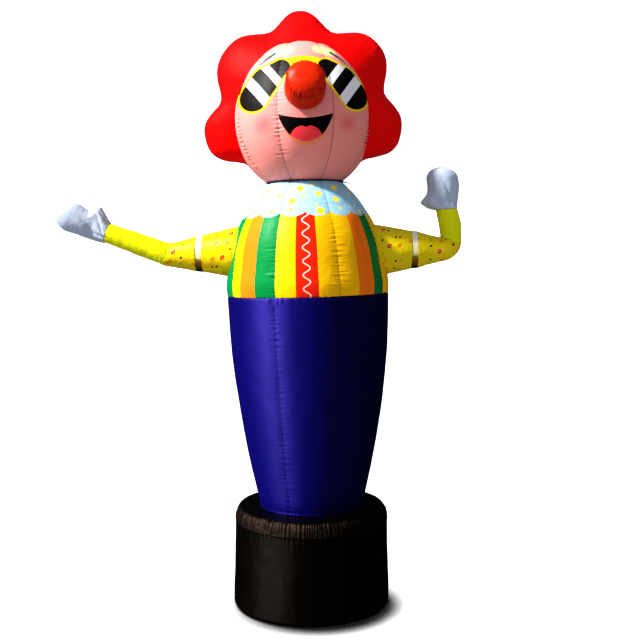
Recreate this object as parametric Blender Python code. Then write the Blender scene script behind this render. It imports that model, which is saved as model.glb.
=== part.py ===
"""Inflatable air dancer: a clown figure of sewn, air-filled nylon on a round black base.

Each inflated section is one filled solid, with its sewn seams drawn in.
The frame is in metres with +Z up. The figure faces -Y, and the origin is on the floor
under the middle of the base.
"""

import math
import random

import bmesh
import bpy
from mathutils import Vector

# Driving dimensions, in metres and degrees
GAP = 0.0003
CUT_GAP = 0.0005
PANELS = 8
PANEL_ANGLE = 360 / PANELS
PANEL_STEPS = (-0.5, -0.40, -0.20, 0.0, 0.20, 0.40)
SEAM_DEPTH = 0.007
SEAM_TIGHTNESS = 3
ARM_SIDES = 24
SHARP_ANGLE = 50

BASE_RADIUS = 0.3185
BASE_BULGE = 0.008
BASE_FOOT_ROUND = 0.020
BASE_WALL_TOP = 0.354
BASE_BAND_TOP = 0.412
BASE_TOP_RADIUS = 0.2946
GATHERS = 48
GATHER_DEPTH = 0.0016
GATHER_SPREAD = 0.4
GATHER_AT_EDGES = 0.3
TOP_PANEL_THICKNESS = 0.003
TOP_PANEL_LIP = 0.004

FOOT_RADIUS = 0.2133
WAIST_RADIUS = 0.332
WAIST_HEIGHT = 1.296
WAIST_PINCH = 0.0025
WAIST_TURN_IN = 0.010
TROUSER_FLARE = 1.83

NECK_HEIGHT = 1.7536
NECK_RADIUS = 0.1508

HEAD_RADIUS = 0.2893
HEAD_CENTRE = 2.0113
HEAD_TOP = 2.336
HEAD_LAST_LEVEL = 82
HEAD_TURN = 3.0
SHIRT_TURN = 0.3

LEAN_ANGLE = 1.6
LEAN_START = 0.420
LEAN_FULL = 1.200

HAIR_CENTRE = 2.0249
HAIR_ROOT = 0.235
HAIR_SET_BACK = 0.015
HAIR_STATIONS = 53
HAIR_NOTCH_THICKNESS = 0.066
HAIR_ROOT_THICKNESS = 0.125
HAIR_CROWN_THICKNESS = 0.056
HAIR_ROOT_LENGTH = 0.19
HAIR_ROOT_FADE = 1.5
HAIR_SHARES = (0.0, 0.2, 0.4, 0.6, 0.8, 0.93)
HAIR_FULLNESS = 3
HAIR_RIM_ROUNDNESS = 0.6
HAIR_END_SHARE = 0.7

NOSE_HEIGHT = 2.085
NOSE_TILT = 18
NOSE_ROOT = -0.045
NOSE_BASE_RADIUS = 0.080
NOSE_SEAM_RADIUS = 0.0745
NOSE_SEAM_PINCH = 0.002
NOSE_SWELL = 0.003
NOSE_BAND_LENGTH = 0.075
NOSE_DOME = 0.038
NOSE_DOME_ROUNDNESS = 0.8
NOSE_SIDES = 32

# Outline of the shirt from waist to neck: height, radius
SHIRT_OUTLINE = (
    (1.306, 0.3320),
    (1.345, 0.3337),
    (1.408, 0.3239),
    (1.488, 0.3100),
    (1.544, 0.2932),
    (1.599, 0.2685),
    (1.646, 0.2405),
    (1.690, 0.2105),
    (1.727, 0.1770),
)

# Tips of the hair's lobes: angle from the crown, reach, half thickness, roundness
HAIR_TIPS = (
    (-101.5, 0.411, 0.084, 1.5),
    (-46.5, 0.416, 0.088, 1.35),
    (0, 0.4245, 0.084, 1.15),
    (47, 0.423, 0.088, 1.35),
    (100.5, 0.409, 0.084, 1.5),
)

# Where the hair's lobes meet, and its two ends: angle from the crown, reach
HAIR_NOTCHES = (
    (-129.5, 0.304),
    (-78, 0.344),
    (-20.5, 0.364),
    (21.5, 0.360),
    (76, 0.348),
    (129, 0.304),
)

# Rings of each arm: distance out from the middle, height, tilt of the arm, radius
LEFT_SLEEVE = (
    (0.2680, 1.4700, 0, 0.1110),
    (0.3300, 1.4680, 0, 0.1027),
    (0.3900, 1.4660, 0, 0.0897),
    (0.4460, 1.4632, 0, 0.0773),
)
LEFT_CUFF = (
    (0.4728, 1.4622, 0, 0.0738),
    (0.5327, 1.4607, 6, 0.0608),
    (0.5960, 1.4593, 16, 0.0484),
)
LEFT_FOREARM = (
    (0.5960, 1.4593, 16, 0.0484),
    (0.7185, 1.5039, 19, 0.0451),
    (0.8410, 1.5481, 19, 0.0422),
)
RIGHT_SLEEVE = (
    (0.2300, 1.4766, 0, 0.1146),
    (0.2860, 1.4776, 0, 0.1040),
    (0.3500, 1.4776, 0, 0.0930),
    (0.4115, 1.4796, 0, 0.0792),
)
RIGHT_CUFF = (
    (0.4362, 1.4799, 0, 0.0773),
    (0.4823, 1.4801, 2, 0.0638),
    (0.5336, 1.4811, 6, 0.0513),
)
RIGHT_ELBOW_CORNER = (0.5316, 1.5332)
RIGHT_ELBOW_TILTS = (22, 39, 55, 69)
RIGHT_ELBOW_RADIUS = 0.0465
ELBOW_CREASE = 0.0012
RIGHT_FOREARM = (
    (0.5747, 1.5540, 84, 0.0463),
    (0.5700, 1.5974, 91, 0.0467),
    (0.5573, 1.6452, 95, 0.0436),
)
ARMBAND_INSET = 0.0015

# Sections of each mitten: distance from the wrist, back, thumb side, half thickness
LEFT_MITTEN = (
    (0.016, 0.0440, 0.052, 0.0430),
    (0.041, 0.0452, 0.076, 0.0420),
    (0.062, 0.0461, 0.0905, 0.0400),
    (0.080, 0.0468, 0.0720, 0.0440),
    (0.098, 0.0473, 0.0614, 0.0480),
    (0.141, 0.0477, 0.0726, 0.0530),
    (0.174, 0.0470, 0.0720, 0.0520),
    (0.207, 0.0311, 0.0600, 0.0430),
    (0.228, 0.0040, 0.0370, 0.0240),
)
LEFT_MITTEN_TIP = (0.2350, 0.0170)
RIGHT_MITTEN = (
    (0.010, 0.0427, 0.0720, 0.0440),
    (0.033, 0.0469, 0.1004, 0.0420),
    (0.046, 0.0498, 0.0959, 0.0440),
    (0.071, 0.0548, 0.0751, 0.0500),
    (0.101, 0.0593, 0.0710, 0.0540),
    (0.137, 0.0531, 0.0718, 0.0520),
    (0.162, 0.0310, 0.0560, 0.0400),
    (0.173, 0.0080, 0.0320, 0.0200),
)
RIGHT_MITTEN_TIP = (0.1765, 0.0120)

NECK_BINDING_INNER = NECK_RADIUS + 0.0020
NECK_BINDING_OUTER = NECK_RADIUS + 0.0085
NECK_BINDING_THICKNESS = 0.0020
NECK_TAB_REACH = 0.026
NECK_TAB_HALF_WIDTH = 0.016
NECK_TAB_DROOP = 0.009


def linear(hex_colour):
    """Turns an sRGB hex colour into the linear values that a shader takes."""
    channels = [int(hex_colour[i:i + 2], 16) / 255 for i in (1, 3, 5)]
    return [c / 12.92 if c <= 0.04045 else ((c + 0.055) / 1.055) ** 2.4 for c in channels]


def cloth(name, hex_colour, roughness=0.45):
    """Makes the material of one colour of coated nylon."""
    material = bpy.data.materials.new(name)
    material.use_nodes = True
    shader = material.node_tree.nodes["Principled BSDF"]
    shader.inputs["Base Color"].default_value = (*linear(hex_colour), 1)
    shader.inputs["Roughness"].default_value = roughness
    shader.inputs["Metallic"].default_value = 0.0
    return material


def skin(name, rings, material, start=None, end=None):
    """Joins rings of points into one closed solid, with a fan at each end."""
    mesh = bpy.data.meshes.new(name)
    shape = bmesh.new()
    rows = [[shape.verts.new(point) for point in ring] for ring in rings]
    count = len(rows[0])
    for lower, upper in zip(rows, rows[1:]):
        for i in range(count):
            j = (i + 1) % count
            shape.faces.new((lower[i], lower[j], upper[j], upper[i]))
    for row, tip in ((rows[0], start), (rows[-1], end)):
        middle = sum((v.co for v in row), Vector()) / count
        hub = shape.verts.new(tip if tip is not None else middle)
        for i in range(count):
            shape.faces.new((row[i], row[(i + 1) % count], hub))
    bmesh.ops.recalc_face_normals(shape, faces=shape.faces)
    shape.to_mesh(mesh)
    shape.free()
    mesh.shade_smooth()
    mesh.set_sharp_from_angle(angle=math.radians(SHARP_ANGLE))
    mesh.materials.append(material)
    solid = bpy.data.objects.new(name, mesh)
    bpy.context.collection.objects.link(solid)
    return solid


def as_cutter(solid):
    """Marks a solid as one that only shapes its neighbours."""
    solid.hide_render = True
    solid.display_type = "WIRE"
    return solid


def cut_away(solid, cutter):
    """Fits a solid against the section that it is sewn to."""
    fitting = solid.modifiers.new("fitting", "BOOLEAN")
    fitting.operation = "DIFFERENCE"
    fitting.solver = "EXACT"
    fitting.object = cutter


def through(rows, steps):
    """Reads a smooth curve through rows of numbers, with some steps between each two."""
    padded = [rows[0], *rows, rows[-1]]
    found = []
    for a, b, c, d in zip(padded, padded[1:], padded[2:], padded[3:]):
        for step in range(steps):
            t = step / steps
            found.append(tuple(
                0.5 * (2 * q + (r - p) * t + (2 * p - 5 * q + 4 * r - s) * t * t
                       + (3 * q - p - 3 * r + s) * t ** 3)
                for p, q, r, s in zip(a, b, c, d)))
    found.append(tuple(rows[-1]))
    return found


def lean(point):
    """Bends the upright figure to its left, more and more up to LEAN_FULL."""
    x, y, z = point
    full = math.radians(LEAN_ANGLE)
    ramp = LEAN_FULL - LEAN_START
    risen = min(max(z - LEAN_START, 0), ramp)
    angle = full * risen / ramp
    drift = full * (risen ** 2 / (2 * ramp) + max(z - LEAN_FULL, 0))
    return Vector((x * math.cos(angle) - drift, y, z + x * math.sin(angle)))


def gored_ring(height, radius, turn, seam_depth):
    """One level of a section of gores: full in each panel's middle, drawn in at each seam."""
    ring = []
    for panel in range(PANELS):
        for step in PANEL_STEPS:
            angle = math.radians(turn + (panel + step) * PANEL_ANGLE)
            drawn = radius - seam_depth * abs(2 * step) ** SEAM_TIGHTNESS
            ring.append(lean((drawn * math.sin(angle), -drawn * math.cos(angle), height)))
    return ring


def gored_section(name, outline, turn, material, grow=0.0, peak=None):
    """An inflated section of the body, turned from its outline and divided into gores."""
    widest = max(radius for _, radius in outline)
    rings = [gored_ring(height, radius + grow, turn, SEAM_DEPTH * radius / widest)
             for height, radius in outline]
    end = lean((0, 0, peak)) if peak else None
    return skin(name, rings, material, end=end)


def plain_ring(height, radius, count):
    """One level of the base, which stands upright."""
    return [Vector((radius * math.sin(math.tau * i / count),
                    -radius * math.cos(math.tau * i / count), height))
            for i in range(count)]


def make_base(material):
    """The round base: wall, gathered band and top panel."""
    sides = PANELS * len(PANEL_STEPS)
    foot_steps = 3
    outline = []
    for step in range(foot_steps + 1):
        bend = math.radians(90 * step / foot_steps)
        outline.append((BASE_FOOT_ROUND * (1 - math.cos(bend)),
                        BASE_RADIUS - BASE_FOOT_ROUND * (1 - math.sin(bend))))
    wall_levels = 5
    for level in range(1, wall_levels + 1):
        share = level / wall_levels
        outline.append((BASE_FOOT_ROUND + (BASE_WALL_TOP - BASE_FOOT_ROUND) * share, BASE_RADIUS))
    rings = []
    for height, radius in outline:
        bulge = BASE_BULGE * (1 - height / BASE_WALL_TOP)
        rings.append(plain_ring(height, radius + bulge, sides))
    skin("drum_wall", rings, material)

    band_steps = 5
    gathers = random.Random(4)
    depths = [GATHER_DEPTH * gathers.uniform(1 - GATHER_SPREAD, 1 + GATHER_SPREAD)
              for _ in range(2 * GATHERS)]
    rings = []
    for step in range(band_steps + 1):
        bend = math.radians(90 * step / band_steps)
        height = BASE_WALL_TOP + GAP + (BASE_BAND_TOP - BASE_WALL_TOP - GAP) * math.sin(bend)
        radius = BASE_TOP_RADIUS + (BASE_RADIUS - BASE_TOP_RADIUS) * math.cos(bend)
        ring = plain_ring(height, 1, 2 * GATHERS)
        for i, point in enumerate(ring):
            pleated = radius + depths[i] * (-1) ** i * (GATHER_AT_EDGES + math.sin(2 * bend))
            point.x *= pleated
            point.y *= pleated
        rings.append(ring)
    skin("drum_band", rings, material)

    low = BASE_BAND_TOP + GAP
    lip = BASE_TOP_RADIUS + TOP_PANEL_LIP
    rings = [plain_ring(low, lip, sides), plain_ring(low + TOP_PANEL_THICKNESS, lip, sides)]
    skin("drum_top", rings, material)


def make_trousers(material):
    """The leg section, which flares from the base's top up to the waist."""
    foot = BASE_BAND_TOP + TOP_PANEL_THICKNESS + 2 * GAP
    levels = 11
    outline = []
    for level in range(levels):
        share = level / levels
        height = foot + (WAIST_HEIGHT - foot) * share
        radius = WAIST_RADIUS - (WAIST_RADIUS - FOOT_RADIUS) * (1 - share) ** TROUSER_FLARE
        outline.append((height, radius))
    outline.append((WAIST_HEIGHT - WAIST_TURN_IN, WAIST_RADIUS))
    outline.append((WAIST_HEIGHT, WAIST_RADIUS - WAIST_PINCH))
    gored_section("trousers", outline, 0, material)


def shirt_outline():
    """Heights and radii of the shirt, with the pinch of the seam at the waist."""
    rows = through(SHIRT_OUTLINE, 2)
    return [(WAIST_HEIGHT + GAP, WAIST_RADIUS - WAIST_PINCH), *rows, (NECK_HEIGHT, NECK_RADIUS)]


def head_outline():
    """Heights and radii of the head: an egg, cut off level at the neck."""
    neck_angle = math.acos(NECK_RADIUS / HEAD_RADIUS)
    lower = (HEAD_CENTRE - NECK_HEIGHT - GAP) / math.sin(neck_angle)
    upper = HEAD_TOP - HEAD_CENTRE
    last_angle = math.radians(HEAD_LAST_LEVEL)
    levels = 15
    outline = []
    for level in range(levels):
        angle = -neck_angle + (last_angle + neck_angle) * level / (levels - 1)
        half_height = upper if angle > 0 else lower
        outline.append((HEAD_CENTRE + half_height * math.sin(angle),
                        HEAD_RADIUS * math.cos(angle)))
    return outline


def hair_form(angle):
    """Reach and half thickness of the hair at an angle from the crown."""
    for tip, before, after in zip(HAIR_TIPS, HAIR_NOTCHES, HAIR_NOTCHES[1:]):
        if before[0] <= angle <= after[0]:
            tip_angle, tip_reach, tip_thickness, roundness = tip
            notch_angle, notch_reach = before if angle < tip_angle else after
            share = abs(angle - tip_angle) / abs(notch_angle - tip_angle)
            rise = 0.5 * (1 + math.cos(math.pi * share ** roundness))
            return (notch_reach + (tip_reach - notch_reach) * rise,
                    HAIR_NOTCH_THICKNESS + (tip_thickness - HAIR_NOTCH_THICKNESS) * rise)


def make_hair(material, head_cutter):
    """The hair: two panels sewn together at the rim, blown up into five lobes."""
    first, last = HAIR_NOTCHES[0][0], HAIR_NOTCHES[-1][0]
    rings = []
    for station in range(HAIR_STATIONS):
        angle = first + (last - first) * station / (HAIR_STATIONS - 1)
        reach, thickness = hair_form(angle)
        turn = math.radians(angle)
        root = HAIR_ROOT_THICKNESS + HAIR_CROWN_THICKNESS * math.cos(turn)
        if angle in (first, last):
            thickness *= HAIR_END_SHARE
            root *= HAIR_END_SHARE
        front = []
        for share in HAIR_SHARES:
            near_head = 1 - (reach - HAIR_ROOT) * share / HAIR_ROOT_LENGTH
            fullness = thickness + (root - thickness) * near_head ** HAIR_ROOT_FADE
            front.append((share, -fullness * (1 - share ** HAIR_FULLNESS)
                          ** HAIR_RIM_ROUNDNESS))
        section = front + [(1.0, 0.0)] + [(share, -side) for share, side in reversed(front)]
        ring = []
        for share, side in section:
            out = HAIR_ROOT + (reach - HAIR_ROOT) * share
            ring.append(lean((out * math.sin(turn), HAIR_SET_BACK + side,
                              HAIR_CENTRE + out * math.cos(turn))))
        rings.append(ring)
    cut_away(skin("hair", rings, material), head_cutter)


def nose_frame():
    """Middle of the nose on the head, and the directions out of it, across it and up it."""
    turn, tilt = math.radians(HEAD_TURN), math.radians(NOSE_TILT)
    rise = (NOSE_HEIGHT - HEAD_CENTRE) / (HEAD_TOP - HEAD_CENTRE)
    radius = HEAD_RADIUS * math.sqrt(1 - rise ** 2)
    middle = lean((radius * math.sin(turn), -radius * math.cos(turn), NOSE_HEIGHT))
    out = Vector((math.sin(turn) * math.cos(tilt), -math.cos(turn) * math.cos(tilt),
                  math.sin(tilt)))
    across = Vector((math.cos(turn), math.sin(turn), 0))
    return middle, out, across, across.cross(out) * -1


def nose_ring(distance, radius):
    """A circle round the nose's axis, at a distance out from the head."""
    middle, out, across, up = nose_frame()
    return [middle + out * distance + radius * (across * math.sin(math.tau * i / NOSE_SIDES)
                                                + up * math.cos(math.tau * i / NOSE_SIDES))
            for i in range(NOSE_SIDES)]


def make_nose(material, head_cutter):
    """The nose: a side band sewn to the head, and a domed panel sewn into its front."""
    seam = NOSE_SEAM_RADIUS - NOSE_SEAM_PINCH
    swollen = NOSE_SEAM_RADIUS + NOSE_SWELL
    rings = [nose_ring(NOSE_ROOT, NOSE_BASE_RADIUS),
             nose_ring(NOSE_BAND_LENGTH / 3, NOSE_BASE_RADIUS + NOSE_SEAM_PINCH),
             nose_ring(NOSE_BAND_LENGTH * 3 / 4, swollen),
             nose_ring(NOSE_BAND_LENGTH, seam)]
    cut_away(skin("nose_band", rings, material), head_cutter)

    dome_steps = 5
    rings = [nose_ring(NOSE_BAND_LENGTH + GAP, seam)]
    for step in range(1, dome_steps):
        bend = math.radians(90 * step / dome_steps)
        rings.append(nose_ring(NOSE_BAND_LENGTH + NOSE_DOME * math.sin(bend),
                               swollen * math.cos(bend) ** NOSE_DOME_ROUNDNESS))
    middle, out, _, _ = nose_frame()
    skin("nose_dome", rings, material, end=middle + out * (NOSE_BAND_LENGTH + NOSE_DOME))


def arm_ring(side, row, shift=0.0):
    """A round section of an arm, square to the arm; shift moves it along the arm."""
    out, height, tilt, radius = row
    tilt = math.radians(tilt)
    out += shift * math.cos(tilt)
    height += shift * math.sin(tilt)
    ring = []
    for i in range(ARM_SIDES):
        around = math.tau * i / ARM_SIDES
        across = radius * math.cos(around)
        ring.append(Vector((side * (out - across * math.sin(tilt)), radius * math.sin(around),
                            height + across * math.cos(tilt))))
    return ring


def arm_piece(name, side, rows, material, shift=0.0):
    """A tube of cloth through its rows; shift parts its first end from the piece before."""
    rings = [arm_ring(side, row, shift if row is rows[0] else 0.0) for row in rows]
    return skin(name, rings, material)


def make_armband(name, side, sleeve_end, cuff_start, material):
    """The smooth band that joins the sleeve to its cuff."""
    first = (*sleeve_end[:3], sleeve_end[3] - ARMBAND_INSET)
    last = (*cuff_start[:3], cuff_start[3] - ARMBAND_INSET)
    skin(name, [arm_ring(side, first, GAP), arm_ring(side, last, -GAP)], material)


def make_mitten(name, side, wrist, sections, tip, material):
    """A mitten with a short thumb, blown up from two panels."""
    out, height, tilt, radius = wrist
    tilt = math.radians(tilt)

    def place(along, across, depth):
        return Vector((side * (out + along * math.cos(tilt) - across * math.sin(tilt)), depth,
                       height + along * math.sin(tilt) + across * math.cos(tilt)))

    rows = through(((GAP, radius, radius, radius), *sections), 2)
    rings = []
    for along, back, thumb, depth in rows:
        ring = []
        for i in range(ARM_SIDES):
            around = math.tau * i / ARM_SIDES
            across = (thumb - back) / 2 + (thumb + back) / 2 * math.cos(around)
            ring.append(place(along, across, depth * math.sin(around)))
        rings.append(ring)
    skin(name, rings, material, end=place(*tip, 0.0))


def elbow_rows(corner, tilts, last_radius, first_radius):
    """Rings that fan out round the inner corner of a bent elbow."""
    rows = []
    for step, tilt in enumerate(tilts, start=1):
        radius = first_radius + (last_radius - first_radius) * step / len(tilts)
        reach = radius + ELBOW_CREASE
        rows.append((corner[0] + reach * math.sin(math.radians(tilt)),
                     corner[1] - reach * math.cos(math.radians(tilt)), tilt, radius))
    return rows


def make_neck_binding(material):
    """The bound seam round the neck, whose loose end stands out on the right."""
    low = NECK_HEIGHT - NECK_BINDING_THICKNESS / 2
    high = NECK_HEIGHT + NECK_BINDING_THICKNESS / 2
    count = PANELS * len(PANEL_STEPS)
    mesh = bpy.data.meshes.new("neck_binding")
    shape = bmesh.new()
    levels = []
    for height in (low, high):
        inner, outer = [], []
        for i in range(count):
            angle = math.radians(SHIRT_TURN + 360 * i / count)
            x, y = math.sin(angle), -math.cos(angle)
            reach, drop = NECK_BINDING_OUTER, 0.0
            if x > 0 and abs(y) * reach < NECK_TAB_HALF_WIDTH:
                reach += NECK_TAB_REACH
                drop = NECK_TAB_DROOP
            inner.append(shape.verts.new(lean((x * NECK_BINDING_INNER, y * NECK_BINDING_INNER,
                                               height))))
            outer.append(shape.verts.new(lean((x * reach, y * NECK_BINDING_OUTER,
                                               height - drop))))
        levels.append((inner, outer))
    (low_in, low_out), (high_in, high_out) = levels
    loops = (low_in, low_out, high_out, high_in)
    for first, second in zip(loops, (*loops[1:], loops[0])):
        for i in range(count):
            j = (i + 1) % count
            shape.faces.new((first[i], first[j], second[j], second[i]))
    bmesh.ops.recalc_face_normals(shape, faces=shape.faces)
    shape.to_mesh(mesh)
    shape.free()
    mesh.materials.append(material)
    bpy.context.collection.objects.link(bpy.data.objects.new("neck_binding", mesh))


for leftover in list(bpy.data.objects):
    bpy.data.objects.remove(leftover)

black = cloth("black_nylon", "#0B0B0C")
blue = cloth("blue_nylon", "#1408A8", 0.40)
print_cloth = cloth("printed_nylon", "#F4C81E", 0.45)
pink = cloth("pink_nylon", "#F0B8B0", 0.50)
red = cloth("red_nylon", "#F01010", 0.42)
orange_red = cloth("nose_nylon", "#EE2A10", 0.42)
yellow = cloth("yellow_nylon", "#F4F01A", 0.42)
white = cloth("white_nylon", "#E8EAEE", 0.50)
film = cloth("armband_film", "#6A5A28", 0.15)
binding = cloth("dark_binding", "#4A4468", 0.60)

make_base(black)
make_trousers(blue)
shirt_rows = shirt_outline()
gored_section("shirt", shirt_rows, SHIRT_TURN, print_cloth)
shirt_cutter = as_cutter(gored_section("shirt_cutter", shirt_rows, SHIRT_TURN, print_cloth,
                                       grow=CUT_GAP))
make_neck_binding(binding)

head_rows = head_outline()
gored_section("head", head_rows, HEAD_TURN, pink, peak=HEAD_TOP)
head_cutter = as_cutter(gored_section("head_cutter", head_rows, HEAD_TURN, pink,
                                      grow=CUT_GAP, peak=HEAD_TOP + CUT_GAP))
make_hair(red, head_cutter)
make_nose(orange_red, head_cutter)

elbow = elbow_rows(RIGHT_ELBOW_CORNER, RIGHT_ELBOW_TILTS, RIGHT_ELBOW_RADIUS,
                   RIGHT_CUFF[-1][3])
ARMS = (
    ("left", -1, LEFT_SLEEVE, LEFT_CUFF, LEFT_FOREARM, LEFT_MITTEN, LEFT_MITTEN_TIP),
    ("right", 1, RIGHT_SLEEVE, (*RIGHT_CUFF, *elbow), (elbow[-1], *RIGHT_FOREARM),
     RIGHT_MITTEN, RIGHT_MITTEN_TIP),
)
for arm, side, sleeve, cuff, forearm, mitten, mitten_tip in ARMS:
    cut_away(arm_piece(f"{arm}_sleeve", side, sleeve, yellow), shirt_cutter)
    make_armband(f"{arm}_armband", side, sleeve[-1], cuff[0], film)
    arm_piece(f"{arm}_cuff", side, cuff, yellow)
    arm_piece(f"{arm}_forearm", side, forearm, yellow, shift=GAP)
    make_mitten(f"{arm}_mitten", side, forearm[-1], mitten, mitten_tip, white)
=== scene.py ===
"""The looks of an inflatable air dancer: a clown of sewn, air-filled nylon on a round base."""

import math

import bpy
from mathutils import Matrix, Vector


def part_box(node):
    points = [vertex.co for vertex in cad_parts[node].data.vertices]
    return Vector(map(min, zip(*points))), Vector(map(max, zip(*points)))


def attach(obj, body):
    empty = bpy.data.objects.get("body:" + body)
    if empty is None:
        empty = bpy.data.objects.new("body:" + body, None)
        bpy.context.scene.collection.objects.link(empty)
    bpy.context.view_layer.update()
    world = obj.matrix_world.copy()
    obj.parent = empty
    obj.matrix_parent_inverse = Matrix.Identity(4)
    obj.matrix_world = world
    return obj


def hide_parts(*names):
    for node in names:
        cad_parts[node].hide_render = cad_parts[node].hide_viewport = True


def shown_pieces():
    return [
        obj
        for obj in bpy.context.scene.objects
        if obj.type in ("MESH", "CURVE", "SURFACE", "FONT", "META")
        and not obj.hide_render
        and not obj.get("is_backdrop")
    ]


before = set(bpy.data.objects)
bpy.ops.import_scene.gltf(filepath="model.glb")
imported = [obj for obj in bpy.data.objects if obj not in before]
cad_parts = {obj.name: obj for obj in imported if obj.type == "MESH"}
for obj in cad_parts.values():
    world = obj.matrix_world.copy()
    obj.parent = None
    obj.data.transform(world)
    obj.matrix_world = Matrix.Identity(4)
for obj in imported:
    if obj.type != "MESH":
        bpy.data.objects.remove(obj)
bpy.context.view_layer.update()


# The camera stands where the photograph was taken: just under 4 m in front of the figure,
# at chest height, and tilted a little down. A normal lens takes in the whole figure.
CAMERA_PLACE = (0.036, -3.94, 1.4657)
CAMERA_TILT = 4.034
CAMERA_LENS = 53.44
CAMERA_SENSOR = 36

camera_data = bpy.data.cameras.new("photo_camera")
camera_data.sensor_width = CAMERA_SENSOR
camera_data.lens = CAMERA_LENS
camera = bpy.data.objects.new("photo_camera", camera_data)
camera.location = CAMERA_PLACE
camera.rotation_euler = (math.radians(90 - CAMERA_TILT), 0, 0)
bpy.context.scene.collection.objects.link(camera)
bpy.context.scene.camera = camera
bpy.context.scene.view_settings.view_transform = "Standard"
bpy.context.scene.view_settings.look = "High Contrast"


# The base's wall is a drum of black coated nylon, one length of cloth joined by an upright
# seam at the front left. It stands flat on the floor and rounds under at its foot.
def linear(hex_colour):
    """Turns an sRGB hex colour into the linear values that a shader takes."""
    channels = [int(hex_colour[i:i + 2], 16) / 255 for i in (1, 3, 5)]
    return (*[c / 12.92 if c <= 0.04045 else ((c + 0.055) / 1.055) ** 2.4 for c in channels], 1)


def add(tree, kind, inputs=(), out=0, **settings):
    """Adds a node with its settings, fills or links its inputs, and gives one output."""
    made = tree.nodes.new(kind)
    for name, value in settings.items():
        setattr(made, name, value)
    for key, value in inputs.items() if isinstance(inputs, dict) else enumerate(inputs):
        if isinstance(value, bpy.types.NodeSocket):
            tree.links.new(value, made.inputs[key])
        else:
            made.inputs[key].default_value = value
    return made.outputs[out]


def new_tree(name, inputs, outputs):
    """Starts a node tree with named inputs, each with its kind of socket."""
    tree = bpy.data.node_groups.new(name, "GeometryNodeTree")
    for socket, kind in inputs.items():
        tree.interface.new_socket(socket, in_out="INPUT", socket_type="NodeSocket" + kind)
    for socket, kind in outputs.items():
        tree.interface.new_socket(socket, in_out="OUTPUT", socket_type="NodeSocket" + kind)
    return tree, tree.nodes.new("NodeGroupInput").outputs


# How the creases beside a seam differ from one to the next
CREASE_DRIFT = 2.4
DRIFT_STRETCH = 3.0
SEAM_SHIFT = 5.1
SWELL_STRETCH = 9.0
SWELL_SHIFT = 40.0
SWELL_NOISE = (0.35, 0.62)
SWELL_RANGE = (0.1, 0.6)
SHORTEST_CREASE = 0.35
CREASE_LENGTHS = 1.1
SHALLOWEST_CREASE = 0.4
CREASE_DEPTHS = 1.2
CREASE_LEVEL = 0.6


def make_pucker_tree():
    """Height of the creases that a tight seam draws into the cloth on its two sides."""
    names = ("Along", "Distance", "Seam", "Side", "Pitch", "Depth", "Reach", "Tightness",
             "Seed")
    tree, given = new_tree("seam_puckers", {name: "Float" for name in names},
                           {"Height": "Float"})
    turns = add(tree, "ShaderNodeMath", (given["Along"], given["Pitch"]), operation="DIVIDE")

    def uneven(stretch, shift):
        """Slow noise along the seam, from 0 to 1."""
        slow = add(tree, "ShaderNodeMath", (turns, stretch), operation="DIVIDE")
        row = add(tree, "ShaderNodeMath", (given["Seam"], SEAM_SHIFT, shift),
                  operation="MULTIPLY_ADD")
        spot = add(tree, "ShaderNodeCombineXYZ", (slow, row, given["Seed"]))
        return add(tree, "ShaderNodeTexNoise", {"Vector": spot, "Scale": 1.0, "Detail": 0.0})

    phase = add(tree, "ShaderNodeMath", (uneven(DRIFT_STRETCH, 0.0), CREASE_DRIFT, turns),
                operation="MULTIPLY_ADD")
    half_turn = add(tree, "ShaderNodeMath", (phase, math.pi), operation="MULTIPLY")
    wave = add(tree, "ShaderNodeMath", (half_turn,), operation="SINE")
    hump = add(tree, "ShaderNodeMath", (wave,), operation="ABSOLUTE")
    number = add(tree, "ShaderNodeMath", (phase,), operation="FLOOR")
    sided = add(tree, "ShaderNodeMath", (given["Side"], given["Seed"]), operation="ADD")
    which = add(tree, "ShaderNodeCombineXYZ", (number, given["Seam"], sided))
    chance = add(tree, "ShaderNodeTexWhiteNoise", (which,), noise_dimensions="3D")
    swell = add(tree, "ShaderNodeMapRange",
                {"Value": uneven(SWELL_STRETCH, SWELL_SHIFT), "From Min": SWELL_NOISE[0],
                 "From Max": SWELL_NOISE[1], "To Min": SWELL_RANGE[0],
                 "To Max": SWELL_RANGE[1]})
    swell = add(tree, "ShaderNodeMath", (swell, given["Tightness"]), operation="ADD")
    longer = add(tree, "ShaderNodeMath", (chance, CREASE_LENGTHS, SHORTEST_CREASE),
                 operation="MULTIPLY_ADD")
    reach = add(tree, "ShaderNodeMath", (given["Reach"], longer), operation="MULTIPLY")
    far = add(tree, "ShaderNodeMath", (given["Distance"], reach), operation="DIVIDE")
    square = add(tree, "ShaderNodeMath", (far, far), operation="MULTIPLY")
    minus = add(tree, "ShaderNodeMath", (square, -1.0), operation="MULTIPLY")
    fade = add(tree, "ShaderNodeMath", (minus,), operation="EXPONENT")
    centred = add(tree, "ShaderNodeMath", (hump, CREASE_LEVEL), operation="SUBTRACT")
    height = add(tree, "ShaderNodeMath", (centred, given["Depth"]), operation="MULTIPLY")
    height = add(tree, "ShaderNodeMath", (height, swell), operation="MULTIPLY")
    height = add(tree, "ShaderNodeMath", (height, fade), operation="MULTIPLY")
    deeper = add(tree, "ShaderNodeMath", (chance, CREASE_DEPTHS, SHALLOWEST_CREASE),
                 operation="MULTIPLY_ADD")
    height = add(tree, "ShaderNodeMath", (height, deeper), operation="MULTIPLY")
    end = tree.nodes.new("NodeGroupOutput")
    tree.links.new(height, end.inputs["Height"])
    return tree


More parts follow.
